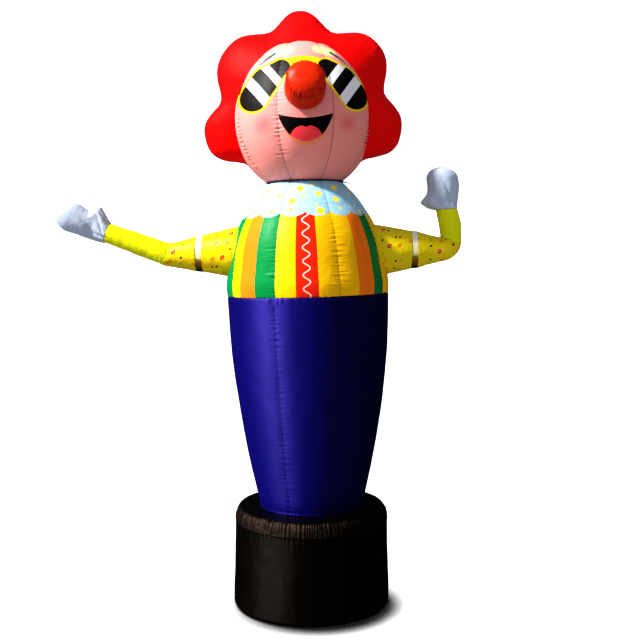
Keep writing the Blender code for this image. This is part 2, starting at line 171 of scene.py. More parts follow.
# How the pleats of a gathered edge differ round the piece, and how fine the wrinkles are
PLEAT_DRIFT = 2.5
PLEAT_DRIFT_NOISE = (6.0, 3.0)
PLEAT_LENGTH_NOISE = (11.0, 9.0)
PLEAT_CHANCE = (0.3, 0.7)
PLEAT_LENGTHS = (0.3, 1.5)
WRINKLE_DETAIL = 2.0
WRINKLE_ROUGHNESS = 0.55
SEAMLESS_DEPTH = 0.0001
WELD_DISTANCE = 0.00003


def make_gored_tree(puckers):
    """Turns an outline into cloth of upright gores, drawn in and puckered at the seams."""
    inputs = {"Outline": "Geometry", "Around": "Int", "Gores": "Int", "Turn": "Float",
              "Widest": "Float", "Seam Depth": "Float", "Seam Tightness": "Float",
              "Seam Crowding": "Float", "Pucker Pitch": "Float", "Pucker Depth": "Float",
              "Pucker Reach": "Float", "Tight Height": "Float", "Tight Spread": "Float",
              "Gathers": "Float", "Gather Depth": "Float", "Wrinkle Depth": "Float",
              "Wrinkle Size": "Float", "Seed": "Float", "Cloth": "Material"}
    tree, given = new_tree("gored_cloth", inputs, {"Piece": "Geometry"})
    rows = add(tree, "GeometryNodeAttributeDomainSize", (given["Outline"],))
    columns = add(tree, "ShaderNodeMath", (given["Around"], 1.0), operation="ADD")
    grid = add(tree, "GeometryNodeMeshGrid", (1.0, 1.0, columns, rows))
    index = add(tree, "GeometryNodeInputIndex")
    row = add(tree, "ShaderNodeMath", (index, rows), operation="MODULO")

    def from_outline(value, data_type):
        """Reads a value of the outline at this point's row."""
        return add(tree, "GeometryNodeSampleIndex",
                   {"Geometry": given["Outline"], "Value": value, "Index": row},
                   data_type=data_type, domain="POINT")

    def named(name, data_type):
        """An attribute that the outline's points carry."""
        return add(tree, "GeometryNodeInputNamedAttribute", {"Name": name},
                   data_type=data_type)

    position = add(tree, "GeometryNodeInputPosition")
    at = from_outline(position, "FLOAT_VECTOR")
    radius = add(tree, "ShaderNodeSeparateXYZ", (at,))
    height = radius.node.outputs[2]
    facing = add(tree, "ShaderNodeSeparateXYZ",
                 (from_outline(named("facing", "FLOAT_VECTOR"), "FLOAT_VECTOR"),))
    facing_up = facing.node.outputs[2]
    along = from_outline(named("along", "FLOAT"), "FLOAT")
    gathered = from_outline(named("gather", "FLOAT"), "FLOAT")

    # Columns crowd towards the seams, where the cloth's shape is finest
    column = add(tree, "ShaderNodeSeparateXYZ", (position,))
    share = add(tree, "ShaderNodeMath", (column, 0.5), operation="ADD")
    even = add(tree, "ShaderNodeMath", (share, given["Gores"]), operation="MULTIPLY")
    gore = add(tree, "ShaderNodeMath", (even,), operation="FLOOR")
    part = add(tree, "ShaderNodeMath", (even,), operation="FRACT")
    turned = add(tree, "ShaderNodeMath", (part, math.tau), operation="MULTIPLY")
    bend = add(tree, "ShaderNodeMath", (turned,), operation="SINE")
    crowd = add(tree, "ShaderNodeMath", (given["Seam Crowding"], -math.tau),
                operation="DIVIDE")
    part = add(tree, "ShaderNodeMath", (bend, crowd, part), operation="MULTIPLY_ADD")
    place = add(tree, "ShaderNodeMath", (gore, part), operation="ADD")

    rest = add(tree, "ShaderNodeMath", (1.0, part), operation="SUBTRACT")
    nearest = add(tree, "ShaderNodeMath", (part, rest), operation="MINIMUM")
    gore_angle = add(tree, "ShaderNodeMath", (math.tau, given["Gores"]), operation="DIVIDE")
    gore_width = add(tree, "ShaderNodeMath", (gore_angle, radius), operation="MULTIPLY")
    distance = add(tree, "ShaderNodeMath", (nearest, gore_width), operation="MULTIPLY")
    tight = add(tree, "ShaderNodeMath", (nearest, -2.0, 1.0), operation="MULTIPLY_ADD")
    drawn = add(tree, "ShaderNodeMath", (tight, given["Seam Tightness"]), operation="POWER")
    drawn = add(tree, "ShaderNodeMath", (drawn, given["Seam Depth"]), operation="MULTIPLY")
    slim = add(tree, "ShaderNodeMath", (radius, given["Widest"]), operation="DIVIDE")
    drawn = add(tree, "ShaderNodeMath", (drawn, slim), operation="MULTIPLY")

    seam = add(tree, "ShaderNodeMath", (place,), operation="ROUND")
    seam = add(tree, "ShaderNodeMath", (seam, given["Gores"]), operation="FLOORED_MODULO")
    half = add(tree, "ShaderNodeMath", (part, 0.5), operation="GREATER_THAN")
    from_tight = add(tree, "ShaderNodeMath", (height, given["Tight Height"]),
                     operation="SUBTRACT")
    from_tight = add(tree, "ShaderNodeMath", (from_tight, given["Tight Spread"]),
                     operation="DIVIDE")
    from_tight = add(tree, "ShaderNodeMath", (from_tight, from_tight), operation="MULTIPLY")
    tightness = add(tree, "ShaderNodeMath", (from_tight, -1.0), operation="MULTIPLY")
    tightness = add(tree, "ShaderNodeMath", (tightness,), operation="EXPONENT")
    pucker = tree.nodes.new("GeometryNodeGroup")
    pucker.node_tree = puckers
    for name, value in {"Along": along, "Distance": distance, "Seam": seam, "Side": half,
                        "Tightness": tightness,
                        "Pitch": given["Pucker Pitch"], "Depth": given["Pucker Depth"],
                        "Reach": given["Pucker Reach"], "Seed": given["Seed"]}.items():
        tree.links.new(value, pucker.inputs[name])

    # The middle of the first gore faces the front
    angle = add(tree, "ShaderNodeMath", (place, -0.5), operation="ADD")
    angle = add(tree, "ShaderNodeMath", (angle, gore_angle, given["Turn"]),
                operation="MULTIPLY_ADD")
    sine = add(tree, "ShaderNodeMath", (angle,), operation="SINE")
    cosine = add(tree, "ShaderNodeMath", (angle,), operation="COSINE")

    def ring_noise(scale, shift):
        """Noise that meets itself after one turn round the piece."""
        lift = add(tree, "ShaderNodeMath", (given["Seed"], shift), operation="ADD")
        spot = add(tree, "ShaderNodeCombineXYZ", (sine, cosine, lift))
        return add(tree, "ShaderNodeTexNoise", {"Vector": spot, "Scale": scale, "Detail": 0.0})

    round_share = add(tree, "ShaderNodeMath", (place, given["Gores"]), operation="DIVIDE")
    pleat = add(tree, "ShaderNodeMath", (round_share, given["Gathers"]),
                operation="MULTIPLY")
    pleat = add(tree, "ShaderNodeMath", (ring_noise(*PLEAT_DRIFT_NOISE), PLEAT_DRIFT, pleat),
                operation="MULTIPLY_ADD")
    pleat = add(tree, "ShaderNodeMath", (pleat, math.pi), operation="MULTIPLY")
    pleat = add(tree, "ShaderNodeMath", (pleat,), operation="SINE")
    pleat = add(tree, "ShaderNodeMath", (pleat,), operation="ABSOLUTE")
    pleat = add(tree, "ShaderNodeMath", (pleat, CREASE_LEVEL), operation="SUBTRACT")
    length = add(tree, "ShaderNodeMapRange",
                 {"Value": ring_noise(*PLEAT_LENGTH_NOISE), "From Min": PLEAT_CHANCE[0],
                  "From Max": PLEAT_CHANCE[1], "To Min": PLEAT_LENGTHS[0],
                  "To Max": PLEAT_LENGTHS[1]})
    gathered = add(tree, "ShaderNodeMath", (gathered, length), operation="MULTIPLY")
    pleat = add(tree, "ShaderNodeMath", (pleat, gathered), operation="MULTIPLY")
    pleat = add(tree, "ShaderNodeMath", (pleat, given["Gather Depth"]), operation="MULTIPLY")

    smooth_x = add(tree, "ShaderNodeMath", (radius, sine), operation="MULTIPLY")
    smooth_y = add(tree, "ShaderNodeMath", (radius, cosine), operation="MULTIPLY")
    smooth = add(tree, "ShaderNodeCombineXYZ", (smooth_x, smooth_y, height))
    fine = add(tree, "ShaderNodeMath", (1.0, given["Wrinkle Size"]), operation="DIVIDE")
    wrinkle = add(tree, "ShaderNodeTexNoise",
                  {"Vector": smooth, "Scale": fine, "Detail": WRINKLE_DETAIL,
                   "Roughness": WRINKLE_ROUGHNESS})
    wrinkle = add(tree, "ShaderNodeMath", (wrinkle, 0.5), operation="SUBTRACT")
    wrinkle = add(tree, "ShaderNodeMath", (wrinkle, given["Wrinkle Depth"]),
                  operation="MULTIPLY")

    relief = add(tree, "ShaderNodeMath", (pucker.outputs[0], pleat), operation="ADD")
    relief = add(tree, "ShaderNodeMath", (relief, wrinkle), operation="ADD")
    flat = add(tree, "ShaderNodeMath", (radius, drawn), operation="SUBTRACT")
    reach = add(tree, "ShaderNodeMath", (relief, facing, flat), operation="MULTIPLY_ADD")
    reach = add(tree, "ShaderNodeMath", (reach, 0.0), operation="MAXIMUM")
    level = add(tree, "ShaderNodeMath", (relief, facing_up, height),
                operation="MULTIPLY_ADD")
    back = add(tree, "ShaderNodeMath", (cosine, -1.0), operation="MULTIPLY")
    x = add(tree, "ShaderNodeMath", (reach, sine), operation="MULTIPLY")
    y = add(tree, "ShaderNodeMath", (reach, back), operation="MULTIPLY")
    goal = add(tree, "ShaderNodeCombineXYZ", (x, y, level))

    # The cloth's own map: once round the piece, and metres along its outline
    spread = add(tree, "ShaderNodeCombineXYZ", (round_share, along, 0.0))
    spread = add(tree, "GeometryNodeFieldOnDomain", (spread,), data_type="FLOAT_VECTOR",
                 domain="POINT")
    shape = add(tree, "GeometryNodeStoreNamedAttribute",
                {"Geometry": grid, "Name": "cloth_map", "Value": spread},
                data_type="FLOAT2", domain="CORNER")
    seamless = add(tree, "ShaderNodeMath", (given["Seam Depth"], SEAMLESS_DEPTH),
                   operation="LESS_THAN")
    from_seam = add(tree, "ShaderNodeMath", (distance, seamless), operation="ADD")
    girth = add(tree, "ShaderNodeMath", (radius, math.tau), operation="MULTIPLY")
    for name, value in (("seam", from_seam), ("girth", girth)):
        shape = add(tree, "GeometryNodeStoreNamedAttribute",
                    {"Geometry": shape, "Name": name, "Value": value},
                    data_type="FLOAT", domain="POINT")
    shape = add(tree, "GeometryNodeSetPosition", {"Geometry": shape, "Position": goal})
    shape = add(tree, "GeometryNodeMergeByDistance",
                {"Geometry": shape, "Distance": WELD_DISTANCE})
    shape = add(tree, "GeometryNodeSetShadeSmooth", {"Geometry": shape})
    shape = add(tree, "GeometryNodeRealizeInstances", {"Geometry": shape})
    shape = add(tree, "GeometryNodeSetMaterial",
                {"Geometry": shape, "Material": given["Cloth"]})
    tree.links.new(shape, tree.nodes.new("NodeGroupOutput").inputs[0])
    return tree


def keep_plain(piece, place=None):
    """Keeps what a piece's nodes made as a plain mesh, each point moved to its place."""
    piece.update_tag()
    bpy.context.view_layer.update()
    graph = bpy.context.evaluated_depsgraph_get()
    mesh = bpy.data.meshes.new_from_object(piece.evaluated_get(graph),
                                           preserve_all_data_layers=True, depsgraph=graph)
    piece.modifiers.clear()
    piece.data = mesh
    if place:
        for vertex in mesh.vertices:
            vertex.co = place(vertex.co)
    mesh.update()
    return piece


def run_tree(piece, tree, sizes):
    """Puts a tree on a piece and sets the inputs that are named."""
    sewing = piece.modifiers.new("sewing", "NODES")
    sewing.node_group = tree
    for socket in tree.interface.items_tree:
        if socket.in_out == "INPUT" and socket.name in sizes:
            sewing[socket.identifier] = sizes[socket.name]


PUCKERS = make_pucker_tree()
GORED_CLOTH = make_gored_tree(PUCKERS)
GORES = 8
PLAIN_CLOTH = {"Around": 384, "Gores": GORES, "Turn": 0.0, "Widest": 1.0, "Seam Depth": 0.0,
               "Seam Tightness": 3.0, "Seam Crowding": 0.5, "Pucker Pitch": 0.022,
               "Pucker Depth": 0.0, "Pucker Reach": 0.03, "Tight Height": 0.0,
               "Tight Spread": 0.1, "Gathers": 100.0,
               "Gather Depth": 0.0, "Wrinkle Depth": 0.0, "Wrinkle Size": 0.1, "Seed": 1.0}


def sew(name, rows, cloth, place=None, **sizes):
    """Sews a piece from its outline: rows of radius, height and how gathered it is there."""
    line = bpy.data.meshes.new(name)
    points = [Vector((radius, 0, height)) for radius, height, _ in rows]
    line.from_pydata(points, [(i, i + 1) for i in range(len(points) - 1)], [])
    along, facing = [0.0], []
    for a, b in zip(points, points[1:]):
        along.append(along[-1] + (b - a).length)
    for i in range(len(points)):
        run = points[min(i + 1, len(points) - 1)] - points[max(i - 1, 0)]
        facing.extend(Vector((run.z, 0, -run.x)).normalized())
    line.attributes.new("along", "FLOAT", "POINT").data.foreach_set("value", along)
    line.attributes.new("gather", "FLOAT", "POINT").data.foreach_set(
        "value", [row[2] for row in rows])
    line.attributes.new("facing", "FLOAT_VECTOR", "POINT").data.foreach_set("vector", facing)
    piece = bpy.data.objects.new(name, line)
    bpy.context.scene.collection.objects.link(piece)
    chosen = {key.replace("_", " ").title(): value for key, value in sizes.items()}
    run_tree(piece, GORED_CLOTH, {**PLAIN_CLOTH, "Cloth": cloth, **chosen})
    return keep_plain(piece, place)


def finish_piece(piece, node):
    """Lets a blown-up piece stand for its solid and ride with it."""
    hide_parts(node)
    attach(piece, "root")
    return piece


# Painted shade in the seams' folds, dye, weave and coating of the nylon
SEAM_LINE = 0.0035
SEAM_SHADE_FULL = SEAM_LINE * 0.4
DYE_PATCHES = 9.0
DYE_DETAIL = 3.0
DYE_RANGE = (0.93, 1.07)
WEAVE_PITCH = 0.0016
WEAVE_SCALE = math.tau / 20 / WEAVE_PITCH
WEAVE_STRENGTH = 0.02
WEAVE_HEIGHT = 0.0003
CRINKLE_SIZE = 0.035
CRINKLE_DETAIL = 4.0
CRINKLE_HEIGHT = 0.006


def nylon(name, colour, roughness=0.42, crinkle=0.35, seam_shade=0.55, gloss=0.25,
          tint="#FFFFFF"):
    """Coated nylon: a close plain weave with a soft gloss, with painted shade in the fold of a
    seam.
    """
    material = bpy.data.materials.new(name)
    material.use_nodes = True
    tree = material.node_tree
    shader = tree.nodes["Principled BSDF"]
    shader.inputs["Roughness"].default_value = roughness
    shader.inputs["Specular IOR Level"].default_value = gloss
    shader.inputs["Specular Tint"].default_value = linear(tint)
    place = add(tree, "ShaderNodeTexCoord", out="Object")
    tone = colour(tree) if callable(colour) else linear(colour)

    # Dye that took a little unevenly, and painted shade in the fold of each seam
    patch = add(tree, "ShaderNodeTexNoise",
                {"Vector": place, "Scale": DYE_PATCHES, "Detail": DYE_DETAIL})
    patch = add(tree, "ShaderNodeMapRange",
                {"Value": patch, "To Min": DYE_RANGE[0], "To Max": DYE_RANGE[1]})
    seam = add(tree, "ShaderNodeAttribute", attribute_name="seam", out="Fac")
    fold = add(tree, "ShaderNodeMapRange",
               {"Value": seam, "From Min": SEAM_SHADE_FULL, "From Max": SEAM_LINE,
                "To Min": seam_shade, "To Max": 1.0})
    shade = add(tree, "ShaderNodeMath", (patch, fold), operation="MULTIPLY")
    plain = tone[:3] if isinstance(tone, tuple) else tone
    shaded = add(tree, "ShaderNodeVectorMath", {0: plain, "Scale": shade}, operation="SCALE")
    tree.links.new(shaded, shader.inputs["Base Color"])

    # Weave at four times its real pitch, seen from close by, under the coating's crinkle
    threads, cross = (add(tree, "ShaderNodeTexWave",
                          {"Vector": place, "Scale": WEAVE_SCALE, "Distortion": 0.0},
                          bands_direction=way, wave_profile="SIN")
                      for way in ("Z", "DIAGONAL"))
    weave = add(tree, "ShaderNodeMath", (threads, cross), operation="MULTIPLY")
    folds = add(tree, "ShaderNodeTexNoise",
                {"Vector": place, "Scale": 1 / CRINKLE_SIZE, "Detail": CRINKLE_DETAIL,
                 "Roughness": WRINKLE_ROUGHNESS})
    woven = add(tree, "ShaderNodeBump", {"Height": weave, "Strength": WEAVE_STRENGTH,
                                         "Distance": WEAVE_HEIGHT})
    bumped = add(tree, "ShaderNodeBump", {"Height": folds, "Strength": crinkle,
                                          "Distance": CRINKLE_HEIGHT, "Normal": woven})
    tree.links.new(bumped, shader.inputs["Normal"])
    return material


BASE_FOOT_ROUND = 0.020
BASE_TAPER = 0.008
BASE_SEAM = math.radians(170.6)
WALL_LEVELS = 62
WALL_GATHER_SHARE = 1 / 3
WALL_EDGE_ROW = 0.0004

# Where the inner ring of points of a closed flat end lies, as shares of the end's radius
INNER_RING = 0.5
WIDE_INNER_RING = 0.6

wall_low, wall_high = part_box("drum_wall")
band_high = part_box("drum_band")[1]
BASE_RADIUS = (wall_high.x - wall_low.x) / 2 - BASE_TAPER
WALL_TOP = wall_high.z


def arc(middle_radius, middle_height, size, start, end, steps):
    """Rows on a round edge; degrees from straight out, counted upwards."""
    turns = [math.radians(start + (end - start) * i / steps) for i in range(steps + 1)]
    return [(middle_radius + size * math.cos(t), middle_height + size * math.sin(t))
            for t in turns]


def wall_rows():
    """Flat underside, rounded foot, a wall that narrows upwards, and the hidden top."""
    foot = arc(BASE_RADIUS + BASE_TAPER - BASE_FOOT_ROUND, BASE_FOOT_ROUND,
               BASE_FOOT_ROUND, -90, 0, 6)
    rows = [(0.0, 0.0, 0.0), (BASE_RADIUS * INNER_RING, 0.0, 0.0)]
    rows += [(radius, height, 0.0) for radius, height in foot]
    for level in range(1, WALL_LEVELS + 1):
        share = level / WALL_LEVELS
        height = BASE_FOOT_ROUND + (WALL_TOP - BASE_FOOT_ROUND) * share
        rows.append((BASE_RADIUS + BASE_TAPER * (1 - height / WALL_TOP), height,
                     max(0.0, 1 - (1 - share) / WALL_GATHER_SHARE) ** 2))
    edge = rows.pop()
    rows += [(edge[0], WALL_TOP - WALL_EDGE_ROW, 1.0), edge]
    return rows + [(BASE_RADIUS * INNER_RING, WALL_TOP, 0.0), (0.0, WALL_TOP, 0.0)]


black_nylon = nylon("coated_nylon_black", "#040303", roughness=0.40, crinkle=0.2, gloss=0.17,
                    tint="#FFE8D0")
drum_wall = sew("base_wall", wall_rows(), black_nylon, gores=1, around=420,
                seam_crowding=0.0, turn=BASE_SEAM, gathers=110.0, gather_depth=0.0025,
                wrinkle_depth=0.009, wrinkle_size=0.16, widest=BASE_RADIUS,
                seam_depth=0.002, seed=3.0)
finish_piece(drum_wall, "drum_wall")


# The band is a strip of the same black nylon, gathered on both edges, which turns the wall's
# top edge over to the flat top panel in one soft roll of small pleats.
BAND_RADIUS = BASE_RADIUS
TOP_RADIUS = 0.2946
BAND_TOP = band_high.z
BAND_GAP = 0.001
BAND_SLACK = 0.45


def band_rows():
    """A quarter roll from the wall's top to the top panel's edge, and its hidden inside."""
    steps = 26
    low, high = WALL_TOP + BAND_GAP, BAND_TOP - BAND_GAP
    rows = [(0.0, low, 0.0), (BAND_RADIUS * WIDE_INNER_RING, low, 0.0)]
    for step in range(steps + 1):
        bend = math.radians(90 * step / steps)
        rows.append((TOP_RADIUS + (BAND_RADIUS - TOP_RADIUS) * math.cos(bend),
                     low + (BAND_TOP - low) * math.sin(bend),
                     BAND_SLACK + (1 - BAND_SLACK) * math.sin(2 * bend)))
    return rows + [(BAND_RADIUS * WIDE_INNER_RING, high, 0.0), (0.0, high, 0.0)]


# The band's cloth is a lighter, brownish copy of the black nylon: a painted sheen where its
# roll catches the light.
band_painted_sheen_nylon = nylon("coated_nylon_black_painted_sheen", "#120D0B", roughness=0.5, crinkle=0.3,
                   gloss=0.18, tint="#FFDCC8")
drum_band = sew("base_band", band_rows(), band_painted_sheen_nylon, gores=1, around=900,
                seam_crowding=0.0, turn=BASE_SEAM, widest=BASE_RADIUS, seam_depth=0.002,
                gathers=150.0, gather_depth=0.0030, wrinkle_depth=0.011,
                wrinkle_size=0.03, seed=8.0)
finish_piece(drum_band, "drum_band")


# The top panel is a disc of black nylon stretched flat across the base, sewn to the band at
# its edge and to the figure's feet in the middle. It creases a little towards both seams.
TOP_PANEL_THICKNESS = 0.003
TOP_LIP = 0.0042
TOP_GAP = 0.0004
TOP_CLOTH = 0.0018
TOP_CROWN = 0.0008
TOP_GATHER_FADE = 2.5
TOP_GATHER_LEAST = 0.3
TOP_EDGE_GATHER = 0.2
PANEL_RADIUS = TOP_RADIUS + TOP_LIP
FOOT_RADIUS = 0.2133
COVERED_RADIUS = FOOT_RADIUS * 0.9


def top_rows():
    """The panel's underside, its edge and its upper face."""
    low = BAND_TOP + TOP_GAP
    high = low + TOP_CLOTH
    rows = [(0.0, low, 0.0), (PANEL_RADIUS, low, 0.0), (PANEL_RADIUS, high, TOP_EDGE_GATHER)]
    steps = 24
    for step in range(steps + 1):
        share = step / steps
        rows.append((PANEL_RADIUS - (PANEL_RADIUS - COVERED_RADIUS) * share,
                     high + TOP_CROWN * math.sin(math.pi * share),
                     max(1 - TOP_GATHER_FADE * share, TOP_GATHER_LEAST)))
    return rows + [(0.0, high, 0.0)]


top_panel = sew("base_top", top_rows(), black_nylon, gores=1, around=560,
                seam_crowding=0.0, gathers=92.0, gather_depth=0.0018, seed=8.0)
finish_piece(top_panel, "drum_top")


# The trousers are the body's lower half: eight gores of royal blue nylon, narrow at the feet
# and full at the waist. Sewing drew the seams tight, so short puckers lie across them.
WAIST_RADIUS = 0.332
WAIST_HEIGHT = 1.296
WAIST_PINCH = 0.0025
WAIST_PINCH_REACH = 0.012
TROUSER_FLARE = 1.83
TROUSER_LEVELS = 205
TROUSER_GATHER_REACH = 0.035
FOOT_GAP = 0.0008
FOOT_LIP = 0.004
FOOT_LIP_HEIGHT = 0.007
GATHER_FADE = 1.5
SEAM_DEPTH = 0.007
TROUSER_SEAM_DEPTH = 0.0046
LEAN_ANGLE = math.radians(1.6)
LEAN_START = 0.420
LEAN_FULL = 1.200


def lean_at(height):
    """Angle and sideways drift of the lean at a height of the upright figure."""
    ramp = LEAN_FULL - LEAN_START
    risen = min(max(height - LEAN_START, 0), ramp)
    drift = LEAN_ANGLE * (risen ** 2 / (2 * ramp) + max(height - LEAN_FULL, 0))
    return LEAN_ANGLE * risen / ramp, drift


def lean(point):
    """Bends the upright figure to the left, more and more up to the full lean."""
    x, y, z = point
    angle, drift = lean_at(z)
    return Vector((x * math.cos(angle) - drift, y, z + x * math.sin(angle)))


def trouser_rows():
    """Outline of the trousers from the closed foot to the closed waist."""
    foot = BAND_TOP + TOP_PANEL_THICKNESS + FOOT_GAP
    rows = [(0.0, foot, 0.0), (FOOT_RADIUS * WIDE_INNER_RING, foot, 0.0)]
    for level in range(TROUSER_LEVELS + 1):
        share = level / TROUSER_LEVELS
        height = foot + (WAIST_HEIGHT - foot) * share
        radius = WAIST_RADIUS - (WAIST_RADIUS - FOOT_RADIUS) * (1 - share) ** TROUSER_FLARE
        from_end = min(height - foot, WAIST_HEIGHT - height)
        pinch = WAIST_PINCH * max(0.0, 1 - (WAIST_HEIGHT - height) / WAIST_PINCH_REACH) ** 2
        lip = FOOT_LIP * max(0.0, 1 - (height - foot) / FOOT_LIP_HEIGHT)
        edge = max(0.0, 1 - from_end / TROUSER_GATHER_REACH)
        rows.append((radius - pinch + lip, height, edge ** GATHER_FADE))
    return rows + [(WAIST_RADIUS * WIDE_INNER_RING, WAIST_HEIGHT, 0.0),
                   (0.0, WAIST_HEIGHT, 0.0)]


blue_nylon = nylon("coated_nylon_royal_blue", "#04024A", roughness=0.46, crinkle=0.12,
                   seam_shade=0.95, gloss=0.8, tint="#8C7CFF")
trousers = sew("trousers", trouser_rows(), blue_nylon, lean, around=352,
               widest=WAIST_RADIUS, seam_depth=TROUSER_SEAM_DEPTH, pucker_pitch=0.021,
               pucker_depth=0.0026, pucker_reach=0.020, tight_height=1.22,
               tight_spread=0.09, gathers=70.0, gather_depth=0.0022,
               wrinkle_depth=0.006, wrinkle_size=0.16, seed=11.0)
finish_piece(trousers, "trousers")


# The shirt is the chest: eight gores of nylon printed before sewing, with upright stripes, a
# wavy line down the front and a pale collar of scallops and soft dots round the neck.
SHIRT_TURN = math.radians(0.3)
NECK_HEIGHT = 1.7536
NECK_RADIUS = 0.1508
COLLAR_SCALLOPS = 16
COLLAR_CUSP = 1.628
COLLAR_DROP = 0.0205
WAVE_REACH = 0.0135
WAVE_LENGTH = 0.0529
WAVE_START = 1.6066
WAVE_WIDTH = 0.0028
SHIRT_RADIUS = 0.3337
SHIRT_SPACING = 0.0045
SHIRT_WAIST_GATHER = 0.030
SHIRT_NECK_GATHER = 0.05
NO_PRINT = 1.0

# Outline of the shirt from waist to neck: height, radius
SHIRT_OUTLINE = (
    (1.2963, 0.3295),
    (1.306, 0.3320),
    (1.345, SHIRT_RADIUS),
    (1.408, 0.3239),
    (1.488, 0.3100),
    (1.544, 0.2932),
    (1.599, 0.2685),
    (1.646, 0.2405),
    (1.690, 0.2105),
    (1.727, 0.1770),
    (1.7536, 0.1508),
)

# The collar's shading, and how its dots fade out, come again and follow the steep cloth
COLLAR_SHADE_REACH = 0.012
DOT_FADE = (-0.004, 0.0015)
DOT_REPEAT = 120
DOT_STEEPNESS = 1.25

# Dots on the collar's front: degrees round, height, radius
COLLAR_DOTS = (
    (-5.3, 1.7187, 0.0165),
    (-13.0, 1.6684, 0.0165),
    (15.3, 1.6961, 0.0137),
    (33.2, 1.6731, 0.0148),
    (13.8, 1.6273, 0.0185),
    (59.9, 1.6270, 0.0137),
    (39.8, 1.7218, 0.0148),
    (-28.8, 1.6949, 0.0099),
    (-1.0, 1.6893, 0.0088),
    (-12.6, 1.6360, 0.0099),
    (-50.2, 1.7193, 0.0110),
    (-31.5, 1.6274, 0.0110),
    (10.8, 1.6498, 0.0077),
    (34.1, 1.6379, 0.0088),
    (63.4, 1.6993, 0.0099),
    (-50.0, 1.6798, 0.0055),
    (-59.1, 1.6679, 0.0077),
    (9.3, 1.7333, 0.0077),
    (56.9, 1.6508, 0.0077),
    (46.5, 1.6452, 0.0055),
    (0.9, 1.6452, 0.0044),
)


def through(rows, steps):
    """Reads a smooth curve through rows of numbers, with some steps between each two."""
    padded = [rows[0], *rows, rows[-1]]
    found = []
    for a, b, c, d in zip(padded, padded[1:], padded[2:], padded[3:]):
        for step in range(steps):
            t = step / steps
            found.append(tuple(
                0.5 * (2 * q + (r - p) * t + (2 * p - 5 * q + 4 * r - s) * t * t
                       + (3 * q - p - 3 * r + s) * t ** 3)
                for p, q, r, s in zip(a, b, c, d)))
    found.append(tuple(rows[-1]))
    return found


def spaced(rows, spacing):
    """Points at an even spacing on a line of rows."""
    found = [rows[0]]
    for a, b in zip(rows, rows[1:]):
        steps = max(1, round(math.dist(a, b) / spacing))
        found += [tuple(p + (q - p) * i / steps for p, q in zip(a, b))
                  for i in range(1, steps + 1)]
    return found


def shirt_rows():
    """Outline of the shirt with its closed ends, gathered at the waist and at the neck."""
    low = SHIRT_OUTLINE[0][0]
    rows = [(0.0, low, 0.0), (WAIST_RADIUS * WIDE_INNER_RING, low, 0.0)]
    for height, radius in spaced(through(SHIRT_OUTLINE, 6), SHIRT_SPACING):
        edge = max(1 - (height - low) / SHIRT_WAIST_GATHER,
                   1 - (NECK_HEIGHT - height) / SHIRT_NECK_GATHER)
        rows.append((radius, height, max(edge, 0.0) ** GATHER_FADE))
    return rows + [(NECK_RADIUS * INNER_RING, NECK_HEIGHT, 0.0), (0.0, NECK_HEIGHT, 0.0)]


def put_attribute(piece, name, read):
    """Stores a number that is read from each point's place on the cloth."""
    values = [read(vertex.co) for vertex in piece.data.vertices]
    piece.data.attributes.new(name, "FLOAT", "POINT").data.foreach_set("value", values)


def collar_dots(point):
    """Distance from the nearest dot's edge; the front's dots come again round the neck."""
    radius = math.hypot(point.x, point.y)
    angle = math.degrees(math.atan2(point.x, -point.y) - SHIRT_TURN)
    if point.z < COLLAR_CUSP - 2 * COLLAR_DROP:
        return NO_PRINT
    nearest = NO_PRINT
    for dot_angle, dot_height, dot_radius in COLLAR_DOTS:
        off = (angle - dot_angle + DOT_REPEAT / 2) % DOT_REPEAT - DOT_REPEAT / 2
        risen = (point.z - dot_height) * DOT_STEEPNESS
        nearest = min(nearest, math.hypot(math.radians(off) * radius, risen) - dot_radius)
    return nearest


